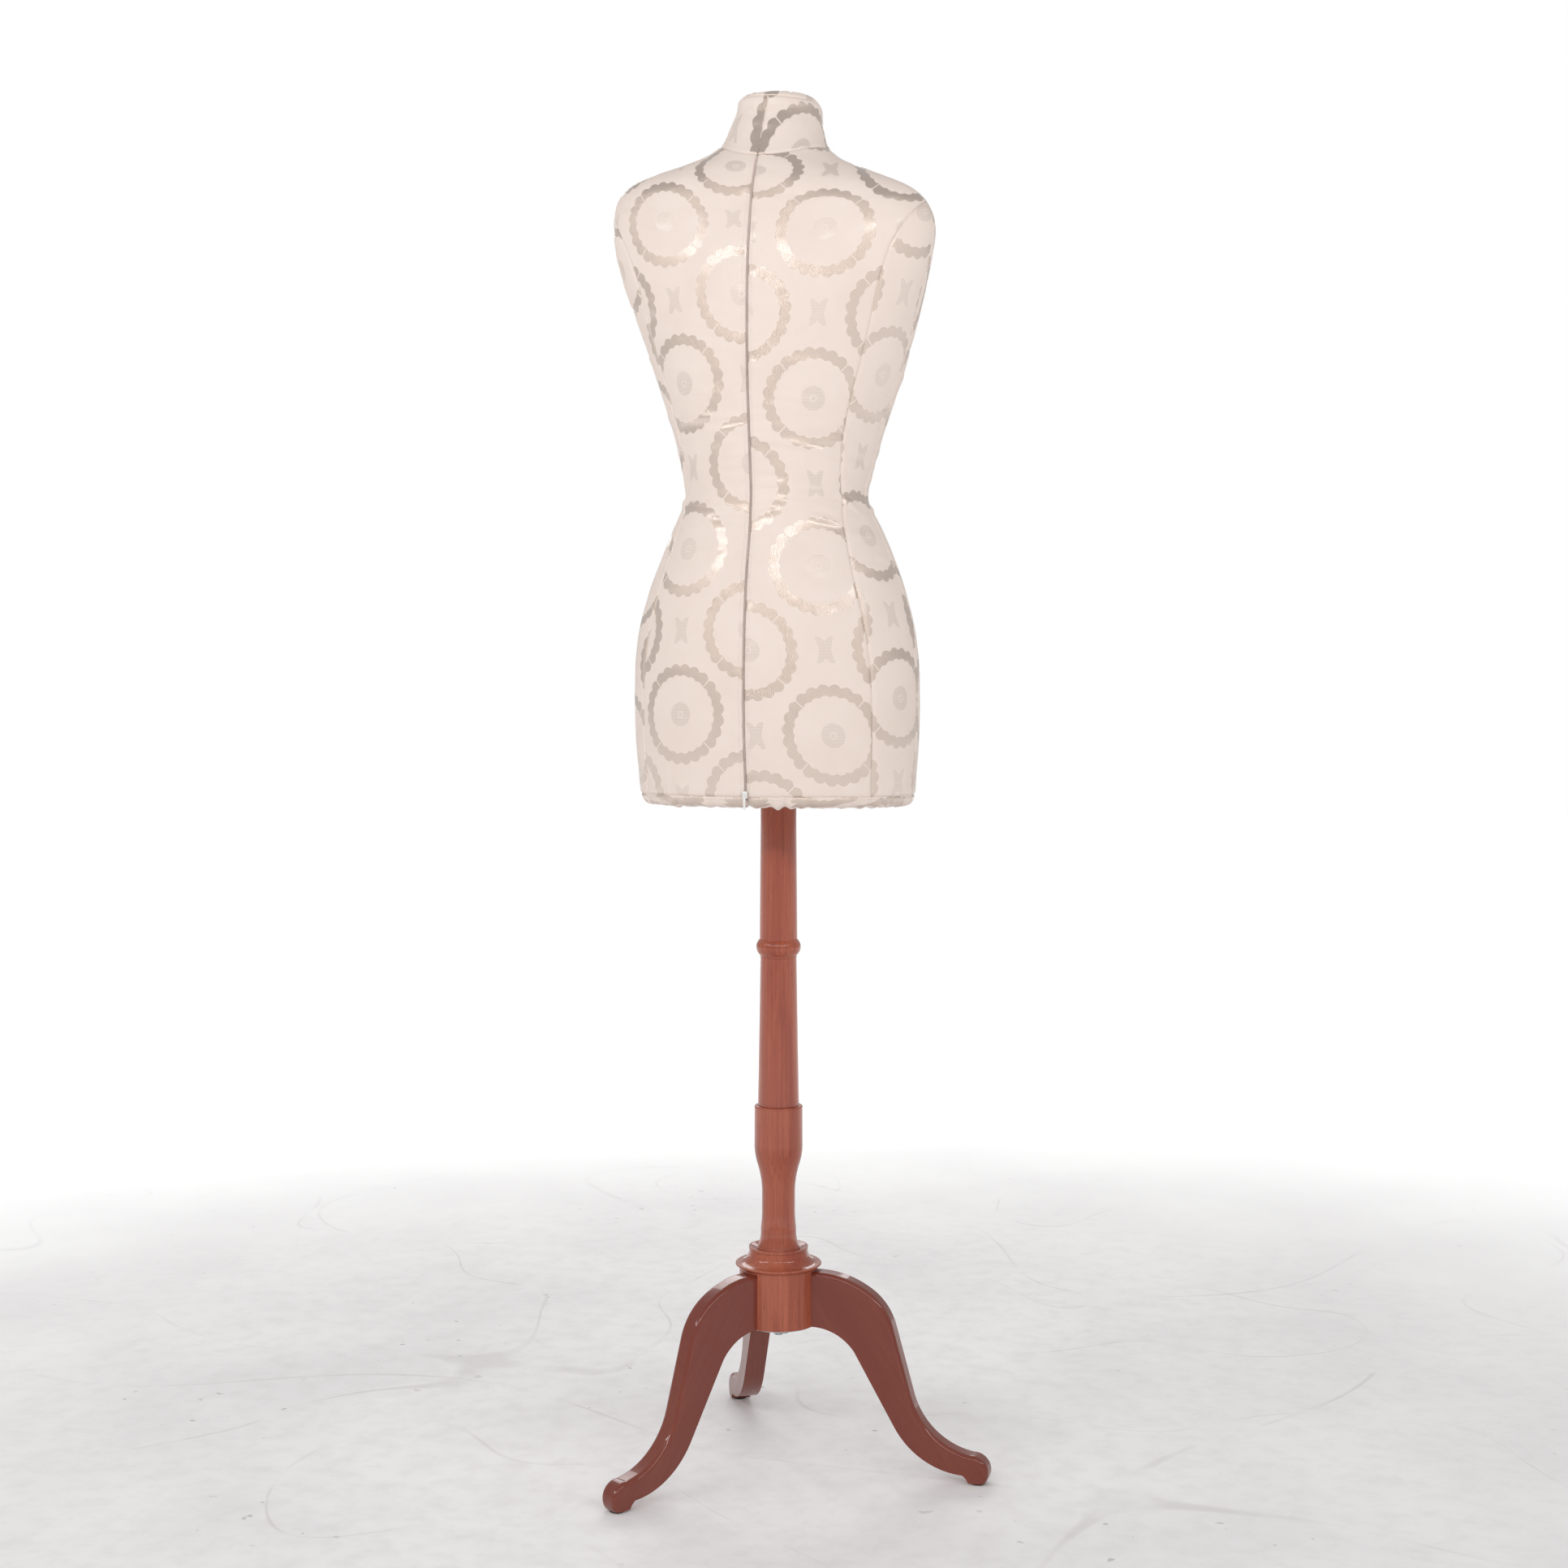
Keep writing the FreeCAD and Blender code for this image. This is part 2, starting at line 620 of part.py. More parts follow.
def make_foot_pad(name, turn):
    """A round felt pad under the ball of one foot."""
    pad = doc.addObject("Part::Cylinder", name)
    pad.setExpression("Radius", bound("pad_radius"))
    pad.setExpression("Height", bound("pad_thickness"))
    angle = f"(Sizes.leg_angle + {turn}) * 1deg"
    pad.setExpression("Placement.Base.x", f"Sizes.pad_reach * cos({angle})")
    pad.setExpression("Placement.Base.y", f"Sizes.pad_reach * sin({angle})")
    return pad


for leg_name, leg_turn in LEG_TURNS.items():
    pad_name = leg_name.replace("leg", "foot_pad")
    keep(make_foot_pad(pad_name, leg_turn), pad_name)

keep(turned("hub_collar", (
    ("collar_recess_radius", "hub_top"),
    ("hub_radius", "hub_top"),
    ("collar_disc_radius", "collar_disc_height", "collar_nose_radius", 1),
    ("collar_lip_radius", "collar_lip_height", "collar_cove_radius", -1),
    ("collar_belly_radius", "collar_belly_height"),
    ("collar_waist_radius", "collar_rim_fall"),
    ("collar_rim_radius", "collar_rim_fall"),
    ("collar_rim_radius", "collar_top"),
    ("collar_dish_radius", "collar_top"),
    ("collar_recess_radius", "collar_dish_bottom"),
)), "hub_collar")

# ---------------------------------------------------------------------------------------------
# Column
# ---------------------------------------------------------------------------------------------

vase = turned("lower_column_blank", (
    (0, "hub_top"),
    ("vase_foot_radius", "hub_top"),
    ("vase_foot_radius", "vase_foot_height", "vase_foot_curve", -1),
    ("vase_flare_radius", "vase_flare_height", "vase_flare_curve", -1),
    ("vase_stem_radius", "vase_stem_bottom"),
    ("vase_stem_radius", "vase_stem_top", "vase_stem_curve", -1),
    ("vase_belly_radius", "vase_belly_height", "vase_belly_curve", 1),
    ("vase_cup_radius", "vase_cup_bottom"),
    ("vase_cup_radius", "vase_cup_shoulder", "vase_lip_curve", 1),
    ("vase_cup_inset", "vase_top"),
    (0, "vase_top"),
))
drilled = bored("lower_column_drilled", vase, "bolt_bore_radius", "hub_top", "bolt_bore_top")
keep(bored("lower_column", drilled, "stud_bore_radius", "low_bore_bottom", "low_bore_top"), "lower_column")

spindle = turned("middle_column_blank", (
    (0, "vase_top"),
    ("middle_bottom_radius", "vase_top"),
    ("middle_top_radius", "middle_top"),
    (0, "middle_top"),
))
drilled = bored("middle_column_drilled", spindle, "stud_bore_radius", "vase_top", "low_bore_top")
keep(bored("middle_column", drilled, "stud_bore_radius", "high_bore_bottom", "middle_top"), "middle_column")

post = turned("upper_post_blank", (
    (0, "middle_top"),
    ("joint_radius", "middle_top"),
    ("joint_radius", "joint_top"),
    ("bead_neck_radius", "bead_bottom", "bead_curve", 1),
    ("bead_neck_radius", "bead_top"),
    ("post_bottom_radius", "post_taper_bottom"),
    ("post_top_radius", "post_top"),
    ("tenon_radius", "post_top"),
    ("tenon_radius", "tenon_bevel_height"),
    ("tenon_bevel_radius", "tenon_top"),
    (0, "tenon_top"),
))
keep(bored("upper_post", post, "stud_bore_radius", "middle_top", "high_bore_top"), "upper_post")


def rod(name, radius, bottom, top):
    """A plain steel rod on the column's axis; its thread is left out."""
    steel = doc.addObject("Part::Cylinder", name)
    steel.setExpression("Radius", bound(radius))
    steel.setExpression("Height", f"Sizes.{top} - Sizes.{bottom}")
    steel.setExpression("Placement.Base.z", bound(bottom))
    return steel


keep(rod("lower_stud", "stud_radius", "low_stud_bottom", "low_stud_top"), "lower_stud")
keep(rod("upper_stud", "stud_radius", "high_stud_bottom", "high_stud_top"), "upper_stud")
keep(rod("centre_bolt", "bolt_radius", "bolt_bottom", "bolt_top"), "centre_bolt")
washer_corners = ring_corners("bolt_bore_radius", "washer_radius", "washer_bottom", "plate_bottom")
keep(turned("centre_washer", washer_corners), "centre_washer")


def make_nut():
    """A hexagon nut on the centre bolt."""
    hexagon = doc.addObject("Part::RegularPolygon", "nut_hexagon")
    hexagon.Polygon = 6
    hexagon.setExpression("Circumradius", bound("nut_radius"))
    hexagon.setExpression("Placement.Base.z", bound("nut_bottom"))
    blank = doc.addObject("Part::Extrusion", "nut_blank")
    blank.Base = hexagon
    blank.DirMode = "Custom"
    blank.Dir = Vector(0, 0, 1)
    blank.setExpression("LengthFwd", bound("nut_thickness"))
    blank.Solid = True
    return bored("centre_nut", blank, "bolt_bore_radius", "nut_bottom", "washer_bottom")


keep(make_nut(), "centre_nut")


def drilled_plate(name, inner, outer, bottom, top, reach, count, first_turn):
    """A turned ring or disc with a circle of screw holes."""
    body = turned(name, ring_corners(inner, outer, bottom, top))
    plane = [part for part in body.Origin.OriginFeatures if part.Role == "XY_Plane"][0]
    marks = new_sketch(body, plane, f"{name}_hole_mark")
    marks.setExpression("AttachmentOffset.Base.z", bound(top))
    circle = marks.addGeometry(Part.Circle(Vector(size(reach), 0, 0), Vector(0, 0, 1),
                                           size("screw_hole_radius")))
    constrain(marks, "DistanceX", (ORIGIN, 1, circle, 3), reach)
    marks.addConstraint(Sketcher.Constraint("PointOnObject", circle, 3, HORIZONTAL_AXIS))
    constrain(marks, "Radius", (circle,), "screw_hole_radius")
    doc.recompute()
    hole = body.newObject("PartDesign::Pocket", f"{name}_hole")
    hole.Profile = marks
    hole.Type = "ThroughAll"
    holes = body.newObject("PartDesign::PolarPattern", f"{name}_holes")
    holes.Originals = [hole]
    holes.Axis = (marks, ["N_Axis"])
    holes.Angle = 360.0
    holes.Occurrences = count
    body.Tip = holes
    body.Placement.Rotation = Rotation(Vector(0, 0, 1), first_turn)
    return body


keep(drilled_plate("hub_plate", "bolt_bore_radius", "plate_radius", "plate_bottom", "hub_bottom",
                   "plate_screw_reach", PLATE_SCREWS, PLATE_SCREW_TURN), "hub_plate")
keep(screw_circle("hub_screws", size("plate_bottom"), size("plate_screw_reach"),
                  PLATE_SCREWS, PLATE_SCREW_TURN), "hub_screws")

# ---------------------------------------------------------------------------------------------
# Swivel bush and the socket in the form
# ---------------------------------------------------------------------------------------------

keep(turned("swivel_bush", (
    ("bush_bore_radius", "bush_bottom"),
    ("bush_radius", "bush_bottom"),
    ("bush_radius", "bush_top"),
    (0, "bush_top"),
    (0, "tenon_top"),
    ("bush_bore_radius", "tenon_top"),
)), "swivel_bush")

keep(turned("socket_tube", (
    ("tube_bore_radius", "tube_bottom"),
    ("tube_radius", "tube_bottom"),
    ("tube_radius", "tube_top"),
    (0, "tube_top"),
    (0, "bush_top"),
    ("tube_bore_radius", "bush_top"),
)), "socket_tube")

keep(drilled_plate("socket_flange", "tube_bore_radius", "flange_radius", "flange_bottom", "base_bottom",
                   "flange_screw_reach", FLANGE_SCREWS, FLANGE_SCREW_TURN), "socket_flange")
keep(screw_circle("flange_screws", size("flange_bottom"), size("flange_screw_reach"),
                  FLANGE_SCREWS, FLANGE_SCREW_TURN), "flange_screws")

# ---------------------------------------------------------------------------------------------
# Form: one family of closed curves, offset inwards for each layer
# ---------------------------------------------------------------------------------------------


def signed_power(number, exponent):
    """The number's size raised to the exponent, with its own sign."""
    return math.copysign(abs(number) ** exponent, number)


def hip_back_at(height):
    """How far back the middle of the back lies over the hip, where it follows one true arc so that
    the zip slider can run along it."""
    rise = height - size("hip_arc_height")
    radius = size("hip_arc_radius")
    return size("hip_back") - radius + math.sqrt(radius * radius - rise * rise)


ON_HIP_ARC = ("seat_low", "seat", "hip", "hip_high", "belly", "belly_high")


def slant_at(height):
    """How much the form leans down towards its right at a height, as rise over run."""
    grown = min(max((height - SLANT_START) / (SLANT_FULL - SLANT_START), 0.0), 1.0)
    eased = grown * grown * (3 - 2 * grown)
    return SHOULDER_SLANT * eased if height < SLANT_END else 0.0


def skin_point(section, turn):
    """A point on the outside of the form, turn radians round from the form's left side (+X)."""
    name, side, rear, fore, half, widest, back, front, squareness = section
    if name in ON_HIP_ARC:
        back = hip_back_at(rear)
    across = signed_power(math.cos(turn), 2.0 / squareness)
    along = signed_power(math.sin(turn), 2.0 / squareness)
    end = rear if along > 0 else fore
    height = side * math.cos(turn) ** 2 + end * math.sin(turn) ** 2
    reach = back - widest if along > 0 else widest - front
    x = half * across
    y = widest + reach * along
    height += half * across * slant_at(height)
    if along < 0:
        apex = math.exp(-((abs(x) - BUST_SPACING) / BUST_SPREAD) ** 2)
        level = math.exp(-((height - BUST_HEIGHT) / BUST_RISE) ** 2)
        y -= BUST_FULLNESS * apex * level * abs(along)
    return Vector(x, y, height)


def make_grid():
    """Rows of points on the outside of the form, one row to each section."""
    turns = [2 * math.pi * step / AROUND for step in range(AROUND)]
    return [[skin_point(section, turn) for turn in turns] for section in SECTIONS]


GRID = make_grid()


def inward(row, column):
    """The unit normal into the form at a point of the grid, from its four neighbours."""
    above = GRID[min(row + 1, len(GRID) - 1)][column]
    below = GRID[max(row - 1, 0)][column]
    ahead = GRID[row][(column + 1) % AROUND]
    behind = GRID[row][column - 1]
    return (above - below).cross(ahead - behind).normalize()


HEM_LIFT = 0.95


def layer_wires(depth):
    """The closed curves of the surface that lies depth inside the skin."""
    wires = []
    for row, places in enumerate(GRID):
        points = [place + inward(row, column) * depth for column, place in enumerate(places)]
        if row == 0:
            points = [Vector(point.x, point.y, GRID[0][0].z + depth * HEM_LIFT) for point in points]
        if row == len(GRID) - 1:
            points = [Vector(point.x, point.y, GRID[-1][0].z - depth) for point in points]
        curve = Part.BSplineCurve()
        curve.interpolate(Points=points, PeriodicFlag=True,
                          Parameters=[step / AROUND for step in range(AROUND + 1)])
        wires.append(Part.Wire([curve.toShape()]))
    return wires


def layer_solid(depth):
    """The solid inside the surface that lies depth inside the skin."""
    return Part.makeLoft(layer_wires(depth), True, False)


DEPTHS = {"skin": 0.0, "lining": size("cover_thickness"), "tape_face": size("tape_depth"),
          "tape_back": size("tape_depth") + size("tape_thickness"), "coil_face": size("zip_coil_depth"),
          "core": size("foam_depth"), "base_edge": size("base_inset")}
LAYERS = {layer: layer_solid(depth) for layer, depth in DEPTHS.items()}

FAR = 300.0
LOW = 700.0
HIGH = 1650.0


def opened_shell(outer, inner):
    """The wall between two layers, open at the hem."""
    wall = LAYERS[outer].cut(LAYERS[inner])
    mouth = Part.Face(layer_wires(DEPTHS[inner])[0]).extrude(Vector(0, 0, -20))
    return wall.cut(mouth)


def slab(low, high):
    """Everything between two heights."""
    return Part.makeBox(2 * FAR, 2 * FAR, high - low, Vector(-FAR, -FAR, low))


def smooth_line(places, vertical):
    """A smooth line through (across, height) places in the plane whose other axis is height."""
    points = [Vector(across, 0, height) if vertical == "XZ" else Vector(0, across, height)
              for across, height in places]
    curve = Part.BSplineCurve()
    curve.interpolate(points)
    return curve.toShape()


def beyond(places, plane):
    """The block on the far side (+) of a seam line, swept through the whole form.

    In plane XZ the block runs along Y, and in plane YZ it runs along X.
    """
    seam = smooth_line(places, plane)
    low = seam.Vertexes[0].Point
    high = seam.Vertexes[-1].Point
    out = Vector(FAR, 0, 0) if plane == "XZ" else Vector(0, FAR, 0)
    sides = [Part.makeLine(high, Vector(high + out)), Part.makeLine(Vector(high + out), Vector(low + out)),
             Part.makeLine(Vector(low + out), low)]
    face = Part.Face(Part.Wire([seam] + sides))
    reach = Vector(0, 2 * FAR, 0) if plane == "XZ" else Vector(2 * FAR, 0, 0)
    block = face.extrude(reach)
    block.translate(reach * -0.5)
    return block


def mirrored(shape):
    """The shape on the other side of the middle."""
    return shape.mirror(Vector(0, 0, 0), Vector(1, 0, 0))


def neck_region():
    """Everything above the seam at the base of the neck.  Seen from the side the seam is two
    parabolas that fall from the shoulder point to the nape and to the pit of the neck."""
    name, side, rear, fore, half, widest, back, front, squareness = [
        section for section in SECTIONS if section[0] == "neck_base"][0]
    steps = 12
    line = [Vector(-FAR, -FAR, fore)]
    for step in range(steps + 1):
        share = 1.0 - step / steps
        line.append(Vector(-FAR, widest - share * (widest - front), side - (side - fore) * share ** 2))
    for step in range(1, steps + 1):
        share = step / steps
        line.append(Vector(-FAR, widest + share * (back - widest), side - (side - rear) * share ** 2))
    line += [Vector(-FAR, FAR, rear), Vector(-FAR, FAR, HIGH), Vector(-FAR, -FAR, HIGH), line[0]]
    return Part.Face(Part.makePolygon(line)).extrude(Vector(2 * FAR, 0, 0))


def feature(name, shape):
    """A sub-part whose shape is worked out here."""
    piece = doc.addObject("Part::Feature", name)
    piece.Shape = shape
    return keep(piece, name)


def solid_of(shape):
    """The largest solid of a boolean result, without the slivers that a cut can leave."""
    return max(shape.Solids, key=lambda solid: solid.Volume)


# ---------------------------------------------------------------------------------------------
# Slipcover
# ---------------------------------------------------------------------------------------------

cover = opened_shell("skin", "lining")
neck_zone = neck_region()
rear_zone = beyond(SIDE_SEAM, "YZ")
back_left_of = beyond(BACK_SEAM, "XZ")
front_left_of = beyond(FRONT_SEAM, "XZ")
left_half = Part.makeBox(FAR, 2 * FAR, HIGH - LOW, Vector(0, -FAR, LOW))
right_half = mirrored(left_half)
gap = Part.makeBox(size("zip_gap"), FAR, size("neck_top_of_zip") - LOW, Vector(-size("zip_gap") / 2, 0, LOW))

trunk = cover.cut(neck_zone).common(slab(size("hem_line"), HIGH))
trunk_rear = trunk.common(rear_zone)
trunk_fore = trunk.cut(rear_zone)
for side_name, half_space, outside_back, outside_front in (
        ("left", left_half, back_left_of, front_left_of),
        ("right", right_half, mirrored(back_left_of), mirrored(front_left_of))):
    rear = trunk_rear.common(half_space)
    fore = trunk_fore.common(half_space)
    feature(f"cover_back_{side_name}", solid_of(rear.cut(outside_back).cut(gap)))
    feature(f"cover_side_back_{side_name}", solid_of(rear.common(outside_back)))
    feature(f"cover_side_front_{side_name}", solid_of(fore.common(outside_front)))
feature("cover_front", solid_of(trunk_fore.cut(front_left_of).cut(mirrored(front_left_of))))
feature("hem_casing", solid_of(cover.common(slab(LOW, size("hem_line"))).cut(gap)))

neck = cover.common(neck_zone)
band = neck.common(slab(LOW, size("cap_line")))
feature("neck_band_left", solid_of(band.common(left_half)))
feature("neck_band_right", solid_of(band.common(right_half)))
feature("neck_cap", solid_of(neck.common(slab(size("cap_line"), HIGH))))


# ---------------------------------------------------------------------------------------------
# Zip down the middle of the back
# ---------------------------------------------------------------------------------------------

rear_half = Part.makeBox(2 * FAR, FAR, HIGH - LOW, Vector(-FAR, 0, LOW))


def strip(outer, inner, near, far, bottom, top):
    """A strip of the wall between two layers at the back, from near to far across the middle."""
    block = Part.makeBox(far - near, FAR, top - bottom, Vector(near, 0, bottom))
    return LAYERS[outer].common(block).cut(LAYERS[inner])


tape_near = size("zip_gap") / 2
tape_left = strip("tape_face", "tape_back", tape_near, size("zip_tape_reach"),
                  size("tape_bottom"), size("zip_top"))
feature("zip_tape_left", solid_of(tape_left))
tape_right = strip("tape_face", "tape_back", -size("zip_tape_reach"), -tape_near,
                   size("tape_bottom"), size("zip_top"))
feature("zip_tape_right", solid_of(tape_right))

coil_half = size("zip_coil_width") / 2
coil = strip("coil_face", "lining", -coil_half, coil_half, size("zip_tail_top"), size("zip_top"))
arc_centre = Vector(0, size("hip_back") - size("hip_arc_radius"), size("hip_arc_height"))
tail_face = size("hip_arc_radius") - size("zip_coil_depth")
tail_start = Vector(-coil_half, arc_centre.y, arc_centre.z)
tail = Part.makeCylinder(tail_face, 2 * coil_half, tail_start, Vector(1, 0, 0))
tail = tail.cut(Part.makeCylinder(tail_face - size("zip_tail_depth"), 2 * coil_half, tail_start, Vector(1, 0, 0)))
tail = tail.common(Part.makeBox(2 * coil_half, FAR, size("zip_tail_top") - size("zip_bottom"),
                                Vector(-coil_half, 0, size("zip_bottom"))))
feature("zip_coil", solid_of(coil.fuse(tail)))

arc_turn = Rotation(Vector(1, 0, 0), size("slider_angle"))
slider_back = size("hip_arc_radius") + size("slider_clearance")
slider_front = slider_back + size("slider_thickness")
pin_reach = slider_front + size("slider_pin_stand")
pull_half = size("pull_width") / 2


def make_slider():
    """The zip's slider: a plate, a rib that runs in the gap, and two cheeks that hold a pin.

    It is drawn level with the centre of the hip's arc, then swung down to the hem.
    """
    wide, tall = size("slider_width"), size("slider_height")
    plate = Part.makeBox(wide, size("slider_thickness"), tall, Vector(-wide / 2, slider_back, -tall / 2))
    rib_wide, rib_deep = size("slider_rib_width"), size("slider_rib_depth")
    rib = Part.makeBox(rib_wide, rib_deep, tall, Vector(-rib_wide / 2, slider_back - rib_deep, -tall / 2))
    cheek_low = -size("slider_pin_drop") - size("cheek_height") / 2
    cheek_out = size("slider_pin_stand") + size("pin_radius") + size("cheek_thickness") / 2
    cheek_in = pull_half + size("slider_clearance") / 2
    cheek = Part.makeBox(size("cheek_thickness"), cheek_out, size("cheek_height"),
                         Vector(cheek_in, slider_front, cheek_low))
    pin_half = cheek_in + size("cheek_thickness")
    pin = Part.makeCylinder(size("pin_radius"), 2 * pin_half,
                            Vector(-pin_half, pin_reach, -size("slider_pin_drop")), Vector(1, 0, 0))
    return plate.fuse([rib, cheek, mirrored(cheek), pin]).removeSplitter()


slider = feature("zip_slider", make_slider())
slider.Placement = FreeCAD.Placement(arc_centre, arc_turn)
pull_pivot = arc_centre + arc_turn.multVec(Vector(0, pin_reach, -size("slider_pin_drop")))


def make_pull():
    """The pull: an eye round the slider's pin and a flat strip that hangs straight down from it."""
    across = Vector(1, 0, 0)
    eye = Part.makeCylinder(size("pull_eye_radius"), size("pull_width"), Vector(-pull_half, 0, 0), across)
    leaf = Part.makeBox(size("pull_width"), size("pull_thickness"), size("pull_length"),
                        Vector(-pull_half, -size("pull_thickness") / 2, -size("pull_length")))
    bore = Part.makeCylinder(size("pull_bore_radius"), 2 * size("pull_width"),
                             Vector(-size("pull_width"), 0, 0), across)
    return eye.fuse(leaf).cut(bore).removeSplitter()


pull = feature("zip_pull", make_pull())
pull.Placement = FreeCAD.Placement(pull_pivot, Rotation())

# ---------------------------------------------------------------------------------------------
# Inside the cover
# ---------------------------------------------------------------------------------------------

glue_gap = size("glue_gap")
socket_bore = Part.makeCylinder(size("tube_radius") + glue_gap, size("tube_top") + glue_gap - LOW,
                                Vector(0, 0, LOW))
block_seat = Part.makeCylinder(size("neck_block_radius"), size("neck_block_top") - size("neck_block_bottom"),
                               Vector(0, size("neck_block_lean"), size("neck_block_bottom")))
flange_pilots = screw_pilots(size("base_bottom"), size("flange_screw_reach"),
                             FLANGE_SCREWS, FLANGE_SCREW_TURN)

foam = LAYERS["core"].common(slab(size("base_top"), HIGH)).cut(socket_bore)
feature("foam_body", solid_of(foam.cut(block_seat).cut(flange_pilots)))
base = LAYERS["base_edge"].common(slab(size("base_bottom"), size("base_top"))).cut(socket_bore)
feature("base_plate", solid_of(base.cut(flange_pilots)))

block = doc.addObject("Part::Cylinder", "neck_block")
block.setExpression("Radius", bound("neck_block_radius"))
block.setExpression("Height", "Sizes.neck_block_top - Sizes.neck_block_bottom")
block.setExpression("Placement.Base.y", bound("neck_block_lean"))
block.setExpression("Placement.Base.z", bound("neck_block_bottom"))
keep(block, "neck_block")

elastic = opened_shell("tape_face", "core").common(slab(LOW, size("elastic_top")))
feature("hem_elastic", solid_of(elastic))

# ---------------------------------------------------------------------------------------------
# Check every object, then write one file to each sub-part
# ---------------------------------------------------------------------------------------------

doc.recompute()
for item in doc.Objects:
    if "Invalid" in item.State or "Error" in item.State:
        raise RuntimeError(f"{item.Name} failed: {item.State}")
for piece in PIECES:
    if piece.Shape.isNull() or not piece.Shape.isValid():
        raise RuntimeError(f"{piece.Label} has no valid shape")

os.makedirs("parts", exist_ok=True)
for piece in PIECES:
    piece.Shape.exportStep(f"parts/{piece.Label}.step")
print(f"{len(PIECES)} sub-parts written")
print(f"zip pull pivot {pull_pivot}, arc centre {arc_centre}")
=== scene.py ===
"""Looks for the dress form: a zipped jacquard slipcover over the form, and a lacquered turned stand.

Metres, +Z up, origin on the floor under the column.  The form's back and its zip face +Y.
The cover is one family of closed curves carried up the form, cut into panels along the seams.
"""

import math

import bpy
import numpy as np
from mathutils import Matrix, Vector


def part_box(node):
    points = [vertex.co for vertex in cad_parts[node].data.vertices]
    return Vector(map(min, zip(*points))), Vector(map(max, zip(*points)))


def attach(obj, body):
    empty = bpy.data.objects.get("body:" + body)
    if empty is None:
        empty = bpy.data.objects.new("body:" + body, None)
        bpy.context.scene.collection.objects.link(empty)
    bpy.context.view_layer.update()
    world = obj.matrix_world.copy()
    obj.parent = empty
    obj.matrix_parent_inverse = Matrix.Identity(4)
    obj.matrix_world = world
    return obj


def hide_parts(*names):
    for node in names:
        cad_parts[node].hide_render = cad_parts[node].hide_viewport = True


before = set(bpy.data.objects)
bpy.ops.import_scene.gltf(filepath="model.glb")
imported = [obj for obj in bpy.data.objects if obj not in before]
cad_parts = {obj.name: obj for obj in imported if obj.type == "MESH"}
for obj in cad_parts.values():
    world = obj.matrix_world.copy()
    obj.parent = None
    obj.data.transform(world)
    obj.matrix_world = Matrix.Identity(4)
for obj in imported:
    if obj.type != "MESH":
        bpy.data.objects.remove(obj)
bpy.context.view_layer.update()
MM = 0.001

# ---------------------------------------------------------------------------------------------
# Camera
# ---------------------------------------------------------------------------------------------

CAMERA_TURN = math.radians(18)
CAMERA_REACH = 2.556
CAMERA_HEIGHT = 0.884
LENS = 50.94
SHIFT = (0.0035, -0.0579)


def make_camera():
    """A level camera behind the form, a little to its right, looking at the column's axis."""
    data = bpy.data.cameras.new("camera")
    data.lens = LENS
    data.shift_x, data.shift_y = SHIFT
    camera = bpy.data.objects.new("camera", data)
    camera.location = (-CAMERA_REACH * math.sin(CAMERA_TURN), CAMERA_REACH * math.cos(CAMERA_TURN),
                       CAMERA_HEIGHT)
    camera.rotation_euler = (math.pi / 2, 0, math.pi + CAMERA_TURN)
    bpy.context.scene.collection.objects.link(camera)
    bpy.context.scene.camera = camera


make_camera()

# ---------------------------------------------------------------------------------------------
# Meshes from arrays
# ---------------------------------------------------------------------------------------------


def new_piece(name, places, faces, uvs=None):
    """A smooth-shaded mesh object from points (n, 3), faces and, for cloth, one UV to each point."""
    mesh = bpy.data.meshes.new(name)
    mesh.from_pydata(places.tolist(), [], faces)
    mesh.shade_smooth()
    if uvs is not None:
        corner = np.empty(len(mesh.loops), int)
        mesh.loops.foreach_get("vertex_index", corner)
        layer = mesh.uv_layers.new(name=CLOTH_UV)
        layer.uv.foreach_set("vector", uvs[corner].astype(np.float32).ravel())
    piece = bpy.data.objects.new(name, mesh)
    bpy.context.scene.collection.objects.link(piece)
    return piece


CLOTH_UV = "cloth"


def grid_faces(rows, columns, around=False, start=0, flip=False):
    """Quads of a grid of points, one row after another; around joins the last column to the first."""
    across = np.arange(columns if around else columns - 1)
    low = np.arange(rows - 1)[:, None] * columns + across
    beside = np.arange(rows - 1)[:, None] * columns + (across + 1) % columns
    quads = np.stack([low, beside, beside + columns, low + columns], -1).reshape(-1, 4) + start
    return quads[:, ::-1] if flip else quads


def edge_loop(rows, columns):
    """Indices round the outside of a grid, counter-clockwise."""
    last = (rows - 1) * columns
    bottom = np.arange(columns)
    right = np.arange(1, rows) * columns + columns - 1
    top = np.arange(columns - 2, -1, -1) + last
    left = np.arange(rows - 2, 0, -1) * columns
    return np.concatenate([bottom, right, top, left])


def cloth_shell(name, outer, inner, uvs):
    """A closed thin piece from two grids of points, (rows, columns, 3), joined round their edges."""
    rows, columns = outer.shape[:2]
    count = rows * columns
    rim = edge_loop(rows, columns)
    after = np.roll(rim, -1)
    wall = np.stack([after, rim, rim + count, after + count], -1)
    faces = np.concatenate([grid_faces(rows, columns), grid_faces(rows, columns, start=count, flip=True),
                            wall])
    places = np.concatenate([outer.reshape(-1, 3), inner.reshape(-1, 3)])
    both = np.concatenate([uvs.reshape(-1, 2)] * 2)
    return new_piece(name, places, faces.tolist(), both)


# ---------------------------------------------------------------------------------------------
# The form's skin
# ---------------------------------------------------------------------------------------------

